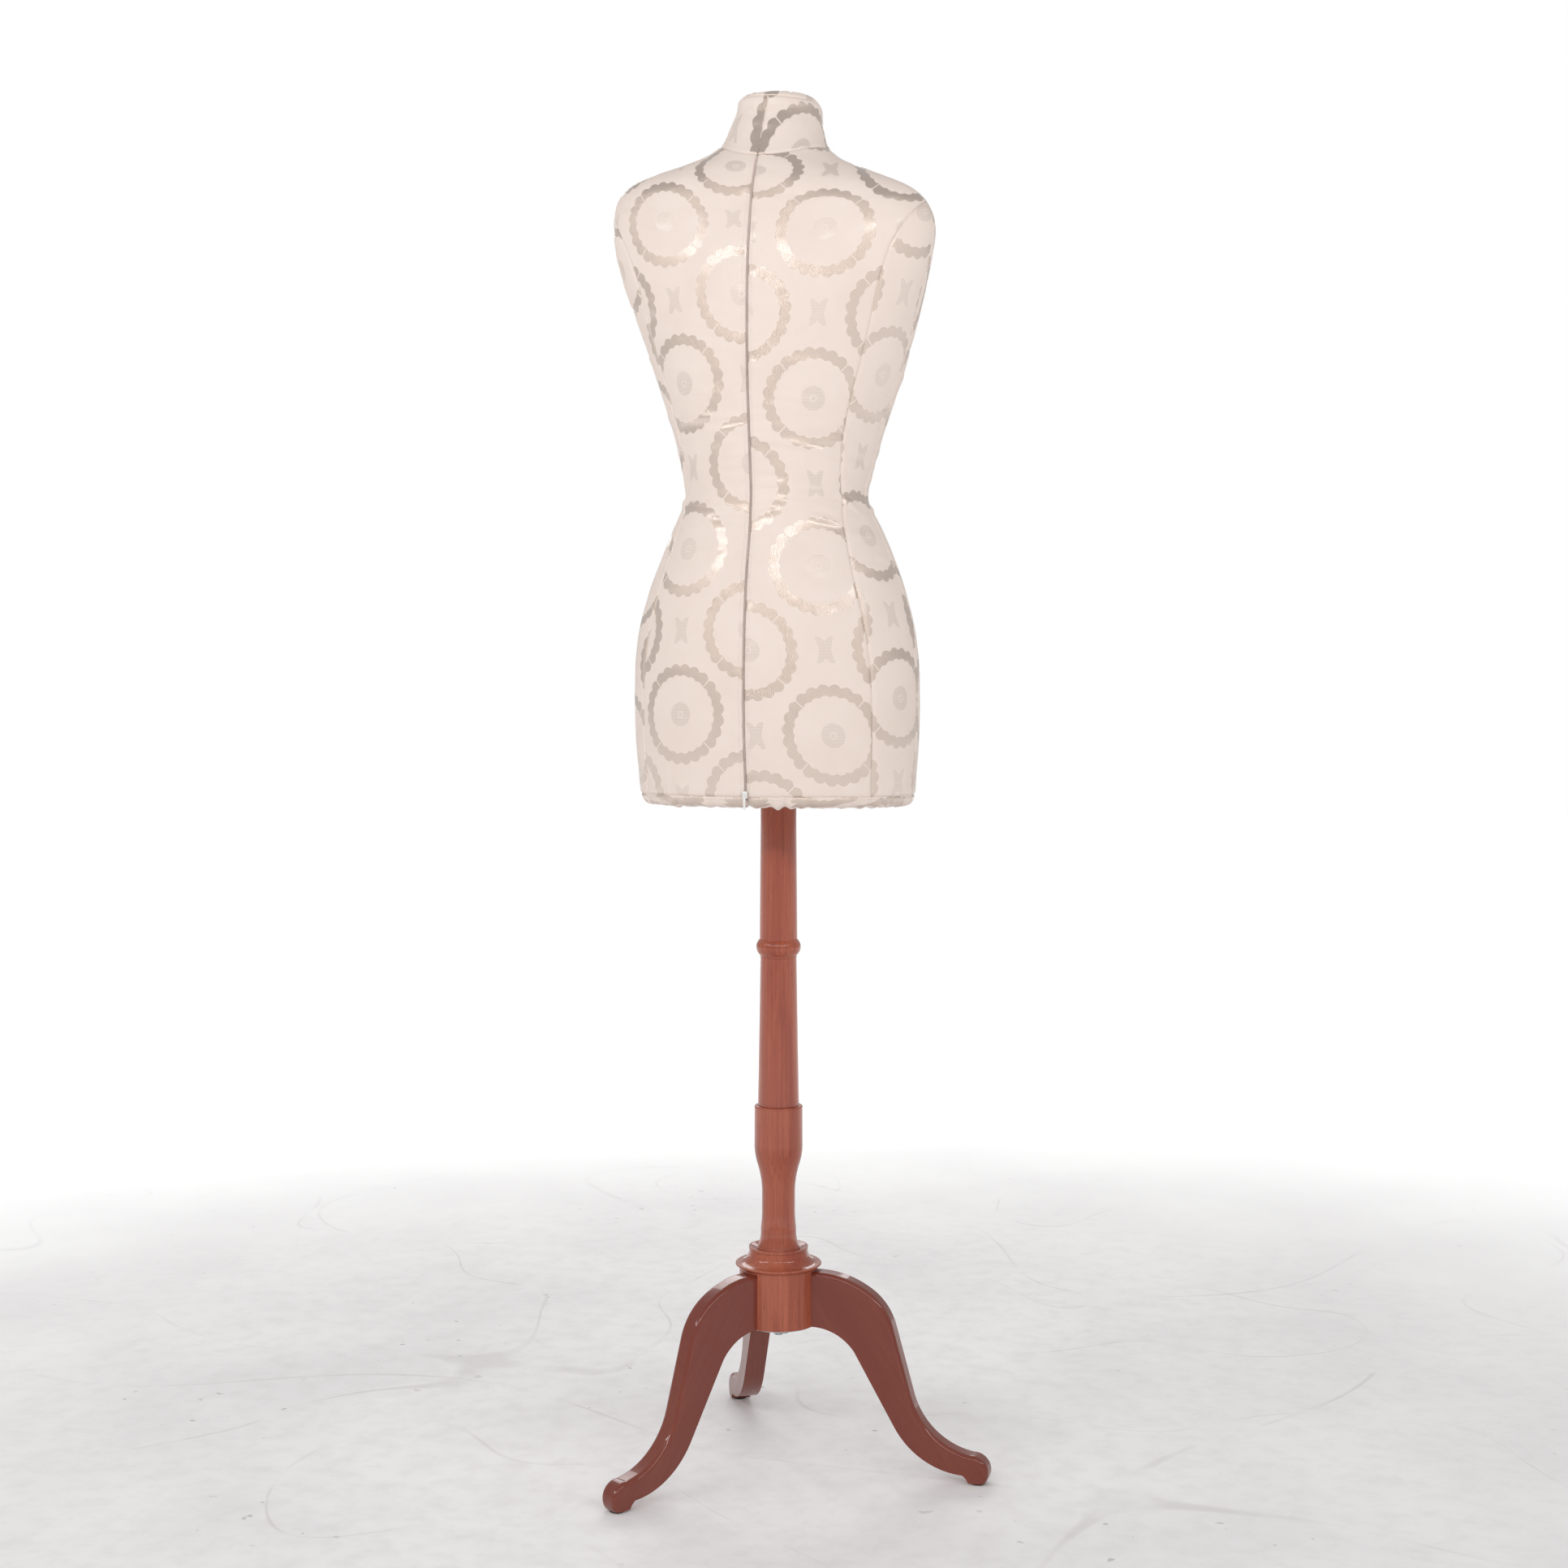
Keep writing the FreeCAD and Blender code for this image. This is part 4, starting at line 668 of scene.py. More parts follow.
def make_medallion_grid():
    """One column of medallions on a grid: a ring between two lobed circles, crossed by four ticks on
    its diagonals; a disc at its centre; and a bow tie halfway to the medallion above."""
    tree, graph, given, result = new_group(
        "Medallion grid", [("Place", "NodeSocketVector", None)],
        [("Ring", "NodeSocketFloat"), ("Disc", "NodeSocketFloat"), ("Tie", "NodeSocketFloat")])
    half = (REPEAT[0] / 2, REPEAT[1] / 2, 0.5)
    cell = graph.vector("WRAP", given["Place"], half, (-half[0], -half[1], -0.5))
    parts = graph.add("ShaderNodeSeparateXYZ", {0: cell}).outputs
    x, y = parts[0], parts[1]
    flat = graph.add("ShaderNodeCombineXYZ", {0: x, 1: y}).outputs[0]
    reach = graph.add("ShaderNodeVectorMath", {0: flat}, operation="LENGTH").outputs["Value"]
    turn = graph.math("ARCTAN2", y, x)
    lobe = graph.math("ABSOLUTE", graph.math("SINE", graph.math("MULTIPLY", turn, MEDALLION["lobes"] / 2)))
    soft = MEDALLION["edge"]
    outside = graph.math("MULTIPLY_ADD", lobe, MEDALLION["outer_lobe"],
                         MEDALLION["outer"] - MEDALLION["outer_lobe"])
    inside = graph.math("MULTIPLY_ADD", lobe, MEDALLION["inner_lobe"], MEDALLION["inner"])
    within = graph.math("DIVIDE", graph.math("SUBTRACT", outside, reach), soft, clamp=True)
    beyond = graph.math("DIVIDE", graph.math("SUBTRACT", reach, inside), soft, clamp=True)
    uneven = graph.math("SUBTRACT", graph.math("ABSOLUTE", x), graph.math("ABSOLUTE", y))
    tick = graph.range(graph.math("ABSOLUTE", uneven), *MEDALLION["tick"])
    ring = graph.math("MULTIPLY", graph.math("MULTIPLY", within, beyond), tick)
    graph.put(result["Ring"], ring)
    petal = graph.math("MULTIPLY_ADD", lobe, MEDALLION["disc_lobe"],
                       MEDALLION["disc"] - MEDALLION["disc_lobe"])
    disc = graph.math("DIVIDE", graph.math("SUBTRACT", petal, reach), soft, clamp=True)
    from_dot = graph.math("ABSOLUTE", graph.math("SUBTRACT", reach, MEDALLION["dot"]))
    dot = graph.range(from_dot, *MEDALLION["dot_line"])
    graph.put(result["Disc"], graph.math("MULTIPLY", disc, dot))
    rise = graph.math("SUBTRACT", half[1], graph.math("ABSOLUTE", y))
    spread_x = graph.math("ABSOLUTE", x)
    flare = graph.math("MULTIPLY_ADD", rise, BOW_TIE["flare"], BOW_TIE["waist"])
    body = graph.math("DIVIDE", graph.math("SUBTRACT", flare, spread_x), soft, clamp=True)
    side = graph.range(spread_x, *BOW_TIE["side"])
    end = graph.range(rise, *BOW_TIE["end"])
    notch = graph.math("SUBTRACT", graph.math("ADD", spread_x, BOW_TIE["notch"]), rise)
    cut = graph.math("DIVIDE", notch, soft, clamp=True)
    tie = graph.math("MULTIPLY", graph.math("MULTIPLY", body, side), graph.math("MULTIPLY", end, cut))
    graph.put(result["Tie"], tie)
    return tree


def make_medallion_cloth():
    """The whole pattern: two grids of medallions, satin stripes, weave and slubs."""
    tree, graph, given, result = new_group(
        "Medallion cloth", [("Place", "NodeSocketVector", None)],
        [("Ring", "NodeSocketFloat"), ("Motif", "NodeSocketFloat"), ("Satin", "NodeSocketFloat"),
         ("Weave", "NodeSocketFloat"), ("Tone", "NodeSocketFloat"), ("Mark", "NodeSocketFloat")])
    grid = make_medallion_grid()
    place = given["Place"]
    one = use_group(graph, grid, {"Place": place})
    two = use_group(graph, grid, {"Place": graph.vector("ADD", place, (REPEAT[0] / 2, REPEAT[1] / 2, 0))})
    ring = graph.math("MAXIMUM", one["Ring"], two["Ring"])
    disc = graph.math("MAXIMUM", one["Disc"], two["Disc"])
    tie = graph.math("MAXIMUM", one["Tie"], two["Tie"])
    parts = graph.add("ShaderNodeSeparateXYZ", {0: place}).outputs
    x, y = parts[0], parts[1]
    satin_at = graph.math("MULTIPLY_ADD", y, SATIN_SLANT, x)
    satin_wave = graph.math("SINE", graph.math("MULTIPLY", satin_at, 2 * math.pi / SATIN_PITCH))
    satin = graph.math("MULTIPLY_ADD", satin_wave, 0.5, 0.5)
    line_wave = graph.math("SINE", graph.math("MULTIPLY", y, 2 * math.pi / LINE_PITCH))
    lines = graph.math("MULTIPLY_ADD", line_wave, 0.5, 0.5)
    graph.put(result["Ring"], ring)
    graph.put(result["Motif"], graph.math("MULTIPLY", graph.math("MAXIMUM", disc, tie),
                                          graph.range(lines, 0.25, 0.6, 0.25, 1.0)))
    graph.put(result["Satin"], satin)
    warp = graph.math("SINE", graph.math("MULTIPLY", x, 2 * math.pi / THREAD_PITCH))
    weft = graph.math("SINE", graph.math("MULTIPLY", y, 2 * math.pi / THREAD_PITCH))
    slub = graph.noise(graph.vector("MULTIPLY", place, (60, 900, 1)), 1.0, 3.0)
    weave = graph.math("MULTIPLY_ADD", graph.math("MULTIPLY", warp, weft), 0.35,
                       graph.math("MULTIPLY", slub, 0.9))
    graph.put(result["Weave"], weave)
    graph.put(result["Tone"], graph.noise(place, 14.0, 5.0, 0.6))
    speck = graph.noise(graph.vector("ADD", place, (3.1, 1.7, 0)), 26.0, 2.0, 0.4)
    graph.put(result["Mark"], graph.range(speck, 0.74, 0.82))
    return tree


CREAM = (0.870, 0.748, 0.676, 1)
CREAM_SHADE = (0.820, 0.692, 0.615, 1)
RING_TONE = (0.600, 0.455, 0.368, 1)
RING_LIGHT = (0.800, 0.675, 0.590, 1)
MOTIF_TONE = (0.740, 0.620, 0.545, 1)
RUST = (0.62, 0.40, 0.27, 1)


def make_jacquard():
    """Cream jacquard: a dull ground, and satin rings whose long floats mirror light across the cloth."""
    material, graph, shader = new_material("Jacquard cover")
    uv = graph.add("ShaderNodeUVMap", uv_map=CLOTH_UV).outputs[0]
    cloth = use_group(graph, make_medallion_cloth(), {"Place": uv})
    ground = graph.mix(graph.range(cloth["Tone"], 0.3, 0.75), CREAM, CREAM_SHADE)
    ground = graph.mix(graph.math("MULTIPLY", cloth["Mark"], 0.25), ground, RUST)
    band = graph.mix(cloth["Satin"], RING_TONE, RING_LIGHT)
    colour = graph.mix(graph.math("MULTIPLY", cloth["Motif"], 0.8), ground, MOTIF_TONE)
    colour = graph.mix(cloth["Ring"], colour, band)
    shine = graph.math("MAXIMUM", cloth["Ring"], graph.math("MULTIPLY", cloth["Motif"], 0.6))
    height = graph.math("MULTIPLY_ADD", cloth["Ring"], graph.math("MULTIPLY", cloth["Satin"], 0.8),
                        cloth["Weave"])
    set_shader(graph, shader, Base_Color=colour, Roughness=graph.range(shine, 0, 1, 0.62, 0.34),
               Metallic=graph.math("MULTIPLY", shine, 0.75), Anisotropic=0.86,
               Coat_Weight=graph.math("MULTIPLY", shine, 0.75), Coat_Roughness=0.24, Coat_IOR=2.0,
               Sheen_Weight=0.12, Sheen_Roughness=0.5, Normal=bump(graph, height, 0.00012, 0.7))
    tangent = graph.add("ShaderNodeTangent", direction_type="UV_MAP", uv_map=CLOTH_UV).outputs[0]
    graph.put(shader.inputs["Tangent"], tangent)
    return material


def make_wood_grain():
    """Stained cherry, its grain along Z: broad figure, fine streaks, short dark pores, wear spots."""
    tree, graph, given, result = new_group(
        "Wood grain", [("Place", "NodeSocketVector", None)],
        [("Figure", "NodeSocketFloat"), ("Streak", "NodeSocketFloat"), ("Pore", "NodeSocketFloat"),
         ("Wear", "NodeSocketFloat")])
    place = given["Place"]
    figure = graph.noise(graph.vector("MULTIPLY", place, (30, 30, 3.0)), 1.0, 4.0, 0.55, 0.6)
    streak = graph.noise(graph.vector("MULTIPLY", place, (420, 420, 9.0)), 1.0, 5.0, 0.6)
    pore = graph.noise(graph.vector("MULTIPLY", place, (1500, 1500, 60.0)), 1.0, 2.0, 0.5)
    wear = graph.noise(place, 55.0, 3.0, 0.6)
    graph.put(result["Figure"], figure)
    graph.put(result["Streak"], streak)
    graph.put(result["Pore"], graph.range(pore, 0.63, 0.72))
    graph.put(result["Wear"], graph.range(wear, 0.62, 0.8))
    return tree


WOOD_GRAIN = make_wood_grain()
WOOD_DARK = (0.150, 0.0260, 0.0170, 1)
WOOD_MID = (0.350, 0.0720, 0.0360, 1)
WOOD_LIGHT = (0.480, 0.130, 0.0680, 1)
PORE_TONE = (0.060, 0.012, 0.008, 1)


def make_wood(name, darkening=0.0, lean=0.0, heading=0.0):
    """Red-brown stained wood under a gloss lacquer.  The grain runs up, or leans out by an angle along
    a heading, as in a sawn leg; darkening mixes its colour towards dark brown."""
    material, graph, shader = new_material(name)
    place = graph.add("ShaderNodeTexCoord").outputs["Object"]
    turned = graph.add("ShaderNodeMapping", {"Vector": place, "Rotation": (0, lean, heading)},
                       vector_type="TEXTURE").outputs[0]
    grain = use_group(graph, WOOD_GRAIN, {"Place": turned})
    colour = graph.mix(graph.range(grain["Figure"], 0.35, 0.68), WOOD_MID, WOOD_LIGHT)
    colour = graph.mix(graph.range(grain["Streak"], 0.40, 0.72, 0, 0.38), colour, WOOD_DARK)
    colour = graph.mix(graph.math("MULTIPLY", grain["Pore"], 0.5), colour, PORE_TONE)
    colour = graph.mix(graph.math("MULTIPLY", grain["Wear"], 0.10), colour, WOOD_LIGHT)
    colour = graph.mix(darkening, colour, WOOD_DARK)
    height = graph.math("MULTIPLY_ADD", grain["Pore"], -0.6, graph.math("MULTIPLY", grain["Streak"], 0.25))
    set_shader(graph, shader, Base_Color=colour, Roughness=graph.range(grain["Streak"], 0.3, 0.7, 0.32, 0.46),
               Specular_IOR_Level=0.2, Coat_Weight=0.7, Coat_Roughness=0.06,
               Normal=bump(graph, height, 0.00006, 0.5))
    return material


def make_plain(name, colour, shade, scale, roughness, metallic=0.0, stretch=(1, 1, 1), relief=0.00005,
               coat=0.0):
    """A finish with two mixed tones, a varied roughness and a fine relief, from one stretched noise."""
    material, graph, shader = new_material(name)
    place = graph.vector("MULTIPLY", graph.add("ShaderNodeTexCoord").outputs["Object"], stretch)
    fine = graph.noise(place, scale, 4.0, 0.6)
    broad = graph.noise(place, scale / 12, 3.0, 0.5)
    tone = graph.mix(graph.range(broad, 0.35, 0.65), colour, shade)
    set_shader(graph, shader, Base_Color=tone, Metallic=metallic, Coat_Weight=coat,
               Roughness=graph.range(fine, 0.3, 0.7, roughness - 0.08, roughness + 0.08),
               Normal=bump(graph, fine, relief, 0.6))
    return material


jacquard = make_jacquard()
LEG_LEAN = math.radians(-34)
COLUMN_WOOD = make_wood("Turned cherry")
# The legs are darker copies of the column's wood.
LEG_WOOD = {name: make_wood(f"Sawn cherry {name}", 0.75, LEG_LEAN, math.radians(turn))
            for name, turn in (("leg_left", 60), ("leg_right", 180), ("leg_front", 300))}
FELT = make_plain("Dark felt", (0.030, 0.026, 0.023, 1), (0.050, 0.043, 0.038, 1), 900, 0.9, relief=0.0003)
STEEL = make_plain("Zinc plated steel", (0.55, 0.55, 0.56, 1), (0.42, 0.43, 0.45, 1), 300, 0.32, 1.0)
NYLON = make_plain("Natural nylon", (0.80, 0.78, 0.72, 1), (0.74, 0.72, 0.66, 1), 250, 0.42)
CARD = make_plain("Hardened card", (0.42, 0.31, 0.20, 1), (0.34, 0.25, 0.16, 1), 400, 0.7,
                  stretch=(1, 1, 0.2))
FOAM = make_plain("Hard foam", (0.78, 0.75, 0.66, 1), (0.70, 0.67, 0.58, 1), 600, 0.85, relief=0.0004)
PLYWOOD = make_plain("Plywood", (0.52, 0.37, 0.22, 1), (0.40, 0.27, 0.15, 1), 500, 0.6, stretch=(0.08, 1, 1))
ELASTIC = make_plain("Woven elastic", (0.74, 0.72, 0.68, 1), (0.66, 0.64, 0.60, 1), 1400, 0.75,
                     stretch=(1, 1, 3))
TAPE = make_plain("Zip tape", (0.86, 0.75, 0.69, 1), (0.80, 0.69, 0.63, 1), 1500, 0.7, stretch=(1, 1, 2))
ENAMEL = make_plain("White enamel", (0.86, 0.86, 0.85, 1), (0.80, 0.80, 0.79, 1), 200, 0.30, coat=0.4)
COIL = make_plain("Nylon coil", (0.86, 0.72, 0.67, 1), (0.78, 0.64, 0.59, 1), 600, 0.4)
THREAD = make_plain("Cotton thread", (0.80, 0.72, 0.65, 1), (0.72, 0.63, 0.56, 1), 2500, 0.6)

NODE_FINISH = {
    "hub": COLUMN_WOOD, "hub_collar": COLUMN_WOOD, "lower_column": COLUMN_WOOD, "middle_column": COLUMN_WOOD,
    "upper_post": COLUMN_WOOD, **LEG_WOOD,
    "foot_pad_left": FELT, "foot_pad_right": FELT, "foot_pad_front": FELT,
    "hub_plate": STEEL, "hub_screws": STEEL, "centre_bolt": STEEL, "centre_washer": STEEL,
    "centre_nut": STEEL, "lower_stud": STEEL, "upper_stud": STEEL, "socket_flange": STEEL,
    "flange_screws": STEEL, "swivel_bush": NYLON, "socket_tube": CARD, "foam_body": FOAM,
    "base_plate": PLYWOOD, "neck_block": PLYWOOD, "hem_elastic": ELASTIC,
    "zip_tape_left": TAPE, "zip_tape_right": TAPE, "zip_slider": ENAMEL, "zip_pull": ENAMEL,
}
for node, finish in NODE_FINISH.items():
    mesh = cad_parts[node].data
    mesh.materials.clear()
    mesh.materials.append(finish)

# ---------------------------------------------------------------------------------------------
# Dress the form
# ---------------------------------------------------------------------------------------------


def along_zip(side):
    """The edge beside the zip, as a function of the skin."""
    return lambda skin: back_middle(skin, side, ZIP_HALF_GAP)


def along_side(side, turns=0):
    """The side seam, as a function of the skin; turns counts whole turns past the start."""
    return lambda skin: side_seam(skin, side) + turns * STEPS


def along_princess(side, line, rear, turns=0):
    """A princess seam, as a function of the skin."""
    return lambda skin: princess_seam(skin, side, line, rear) + turns * STEPS


LEFT, RIGHT = 1, -1
REAR, FORE = True, False

# Each medallion column sits where the panel was cut: grain is the share of the width, from the panel's
# first edge, that carries the pattern's origin, which lies (across, up) millimetres away.
full = trunk_levels()
panel = Panel(full, along_princess(LEFT, BACK_SEAM, REAR), along_zip(LEFT))
dress("back_panel_left", "cover_back_left", panel, panel.uvs(
    1.0, (84, -92), ((0, -6), (210, -6), (390, -3), (560, 6), (660, 20), (760, 24))))
panel = Panel(full, along_zip(RIGHT), along_princess(RIGHT, BACK_SEAM, REAR))
dress("back_panel_right", "cover_back_right", panel, panel.uvs(
    0.0, (-85, -69), ((0, -18), (80, -13), (260, 6), (440, 13), (620, 0), (760, 0))))
for side, word, start in ((LEFT, "left", (0, -60)), (RIGHT, "right", (0, -110))):
    levels = trunk_levels(seam_tip(side, BACK_SEAM, REAR))
    edges = (along_side(side), along_princess(side, BACK_SEAM, REAR))
    panel = Panel(levels, *(edges if side > 0 else edges[::-1]))
    dress(f"side_back_panel_{word}", f"cover_side_back_{word}", panel, panel.uvs(0.5, start))
    edges = (along_princess(side, FRONT_SEAM, FORE), along_side(side))
    panel = Panel(full, *(edges if side > 0 else edges[::-1]))
    dress(f"side_front_panel_{word}", f"cover_side_front_{word}", panel, panel.uvs(0.5, (20, -30 - start[1])))
panel = Panel(full, along_princess(RIGHT, FRONT_SEAM, FORE), along_princess(LEFT, FRONT_SEAM, FORE, 1))
dress("front_panel", "cover_front", panel, panel.uvs(0.5, (0, -40)))


# ---------------------------------------------------------------------------------------------
# Neck band, neck cap and hem
# ---------------------------------------------------------------------------------------------


def middle_column(turns):
    """A column of the skin at a count of quarter turns from the front, for every row."""
    return lambda skin: np.full(len(skin.levels), turns * QUARTER, float)


band_levels = NECK_LEVEL + with_edges(RIM_LEVEL - NECK_LEVEL, ROW_STEP)
panel = Panel(band_levels, middle_column(0), middle_column(2))
dress("neck_panel_left", "neck_band_left", panel, panel.uvs(1.0, (-43, -25)))
panel = Panel(band_levels, middle_column(2), middle_column(4))
dress("neck_panel_right", "neck_band_right", panel, panel.uvs(0.0, (-52, 0)))


def make_neck_cap():
    """The disc of cloth over the neck: the skin's last rows, then rings that shrink to the middle of a
    shallow crown, with a soft unevenness."""
    columns = 160
    skin = Skin(np.linspace(RIM_LEVEL, LEVEL["neck_top"], 8))
    turns = QUARTER + np.arange(columns) * (STEPS / columns)
    places = np.tile(turns, (8, 1))
    side = skin.sample(skin.points, places)
    out = skin.sample(skin.normals, places)
    out = out / np.linalg.norm(out, axis=-1, keepdims=True)
    groove = ridge(np.linalg.norm(side - side[:1], axis=-1))
    side = side - out * (groove * GROOVE_DEPTH)[..., None]
    share = np.linspace(0.97, 0.0, 22)[:, None, None]
    middle = side[-1].mean(0)
    top = middle + (side[-1] - middle) * np.maximum(share, 0.008)
    crown = 1.2 * MM * (1 - share[..., 0] ** 2) + 0.5 * MM * waves(top, 10, 0.02, 0.06, 8)
    top[..., 2] += crown
    outer = np.concatenate([side, top])
    down = np.concatenate([out, np.tile([0.0, 0.0, 1.0], (len(top), columns, 1))])
    inner = outer - down * CLOTH
    rows = len(outer)
    count = rows * columns
    rim = np.arange(columns)
    wall = np.stack([np.roll(rim, -1), rim, rim + count, np.roll(rim, -1) + count], -1)
    faces = np.concatenate([grid_faces(rows, columns, True), grid_faces(rows, columns, True, count, True),
                            wall])
    pole = (rows - 1) * columns + rim
    faces = faces.tolist() + [pole.tolist(), (pole[::-1] + count).tolist()]
    places = np.concatenate([outer.reshape(-1, 3), inner.reshape(-1, 3)])
    piece = new_piece("neck_cap_cloth", places, faces, -places[:, :2] + np.array([0.04, 0.02]))
    piece.data.materials.append(jacquard)
    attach(piece, "form")
    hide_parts("neck_cap")


make_neck_cap()


def hem_levels():
    """Levels of the hem casing's rows, from the mouth up to the stitch line."""
    return np.linspace(0, HEM_LEVEL, 26)


panel = Panel(hem_levels(), along_zip(RIGHT), lambda skin: back_middle(skin, LEFT, ZIP_HALF_GAP) + STEPS,
              grooves=(1, 1, 0, 1))
dress("hem_band", "hem_casing", panel, panel.uvs(0.5, (0, -60)))

# ---------------------------------------------------------------------------------------------
# Zip teeth and stitching
# ---------------------------------------------------------------------------------------------


def evenly(points, normals, pitch):
    """Places, directions and normals at an even pitch along a line of points."""
    steps = np.linalg.norm(np.diff(points, axis=0), axis=1)
    run = np.concatenate([[0], np.cumsum(steps)])
    at = np.arange(pitch / 2, run[-1], pitch)
    places, out = (np.stack([np.interp(at, run, part[:, axis]) for axis in range(3)], -1)
                   for part in (points, normals))
    ahead = np.gradient(places, axis=0)
    ahead /= np.linalg.norm(ahead, axis=1, keepdims=True)
    out -= ahead * (out * ahead).sum(1, keepdims=True)
    out /= np.linalg.norm(out, axis=1, keepdims=True)
    return places, ahead, out


def repeated(name, places, ahead, out, shape, faces):
    """One mesh of copies of a small shape, each given in its own axes (ahead, across, out)."""
    across = np.cross(ahead, out)
    axes = np.stack([ahead, across, out], 1)
    points = places[:, None] + np.einsum("vk,nkc->nvc", shape, axes)
    count = len(shape)
    every = [[corner + copy * count for corner in face] for copy in range(len(places)) for face in faces]
    return new_piece(name, points.reshape(-1, 3), every)


def spindle(length, width, height):
    """A stitch: three five-sided rings, the middle one full and the end ones half as thick."""
    turn = np.arange(5) * (2 * math.pi / 5) + math.pi / 2
    rings = [np.stack([np.full(5, at * length), size * width * np.cos(turn),
                       size * height * np.sin(turn)], -1)
             for at, size in ((-0.5, 0.5), (0, 1.0), (0.5, 0.5))]
    faces = grid_faces(3, 5, around=True).tolist() + [[0, 4, 3, 2, 1][::-1], [10, 11, 12, 13, 14][::-1]]
    return np.concatenate(rings), faces


def cloth_line(levels, places, sink=0.0):
    """Points and normals on the outside of the cloth along a line over the skin."""
    skin = Skin(levels)
    columns = places(skin)[:, None]
    points = skin.sample(skin.points, columns)
    normals = skin.sample(skin.normals, columns)
    normals = normals / np.linalg.norm(normals, axis=-1, keepdims=True)
    middle = np.full((len(levels), 1), 2.0 * QUARTER)
    across = skin.sample(skin.arcs, middle) - skin.sample(skin.arcs, columns)
    relief = relief_at(across, points, columns * (2 * math.pi / STEPS) - math.pi / 2)
    return (points + normals * (relief - sink)[..., None])[:, 0], normals[:, 0]


def finish_trim(piece, finish):
    """Give a small piece its finish and let it ride on the form."""
    piece.data.materials.append(finish)
    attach(piece, "form")


STITCH = (2.5 * MM, 0.26 * MM, 0.20 * MM)
STITCH_PITCH = 3.3 * MM
ZIP_STITCH_OFFSET = 5.2 * MM
fine_levels = np.linspace(HEM_LEVEL, NECK_LEVEL, 900)
for side, word in ((LEFT, "left"), (RIGHT, "right")):
    line = cloth_line(fine_levels, lambda skin: back_middle(skin, side, ZIP_STITCH_OFFSET))
    stitches = repeated(f"zip_stitching_{word}", *evenly(*line, STITCH_PITCH), *spindle(*STITCH))
    finish_trim(stitches, THREAD)


def make_hem_stitching():
    """Stitches right round the casing, a little below its seam."""
    columns = np.linspace(2 * QUARTER + 12, 6 * QUARTER - 12, 1800)
    skin = Skin(np.array([HEM_LEVEL - 2.2 * MM]))
    points = skin.sample(skin.points, columns[None])
    normals = skin.sample(skin.normals, columns[None])
    normals = normals / np.linalg.norm(normals, axis=-1, keepdims=True)
    across = skin.arcs[0, 2 * QUARTER] - skin.sample(skin.arcs, columns[None])
    relief = relief_at(across, points, columns[None] * (2 * math.pi / STEPS) - math.pi / 2)
    line = (points + normals * relief[..., None])[0]
    stitches = repeated("hem_stitching", *evenly(line, normals[0], STITCH_PITCH), *spindle(*STITCH))
    finish_trim(stitches, THREAD)


make_hem_stitching()

TOOTH = np.array([1.05, 0.46, 0.50]) * MM
TOOTH_PITCH = 1.5 * MM
TOOTH_DEPTH = 1.1 * MM
ZIP_ENDS = (0.7575, 0.7720)


def make_zip_teeth():
    """The closed coil: blocks in a row, each a touch to the left or right, along the hip's arc at the
    tail and then along the middle of the back."""
    radius = HIP_ARC["radius"] * MM - TOOTH_DEPTH
    heights = np.linspace(*ZIP_ENDS, 20)
    rise = heights - HIP_ARC["height"] * MM
    reach = np.sqrt(radius ** 2 - rise ** 2)
    centre = (HIP_ARC["back"] - HIP_ARC["radius"]) * MM
    tail = np.stack([0 * heights, centre + reach, heights], -1)
    tail_out = np.stack([0 * heights, reach, rise], -1) / radius
    skin = Skin(np.linspace(level_at_height(ZIP_ENDS[1]) + MM, NECK_LEVEL - 4 * MM, 900))
    out = skin.normals[:, 2 * QUARTER]
    spine = skin.points[:, 2 * QUARTER] - out * TOOTH_DEPTH
    places, ahead, out = evenly(np.concatenate([tail, spine]), np.concatenate([tail_out, out]), TOOTH_PITCH)
    places[:, 0] += 0.12 * MM * (-1.0) ** np.arange(len(places))
    corner = np.array([(-1, -1, -1), (1, -1, -1), (1, 1, -1), (-1, 1, -1),
                       (-0.6, -0.8, 1), (0.6, -0.8, 1), (0.6, 0.8, 1), (-0.6, 0.8, 1)], float)
    block = corner * TOOTH[[1, 0, 2]]
    faces = [[0, 1, 2, 3], [7, 6, 5, 4], [0, 4, 5, 1], [1, 5, 6, 2], [2, 6, 7, 3], [3, 7, 4, 0]]
    teeth = repeated("zip_teeth", places, ahead, out, block, faces)
    finish_trim(teeth, COIL)
    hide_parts("zip_coil")


make_zip_teeth()

# ---------------------------------------------------------------------------------------------
# Turned wood
# ---------------------------------------------------------------------------------------------


def bow(start, end, radius, side):
    """An arc of a given radius between two corners; side is 1 where it bulges away from the axis of a
    profile that climbs, and -1 where it hollows towards it."""
    start, end = np.array(start), np.array(end)
    chord = np.linalg.norm(end - start)
    along = (end - start) / chord
    out = np.array([along[1], -along[0]]) * side
    sweep = math.asin(chord / 2 / radius)
    turn = np.linspace(-sweep, sweep, 15)[:, None]
    return (start + end) / 2 + radius * (np.sin(turn) * along + (np.cos(turn) - math.cos(sweep)) * out)


EASED_EDGE = 0.35
LATHE_COLUMNS = 160


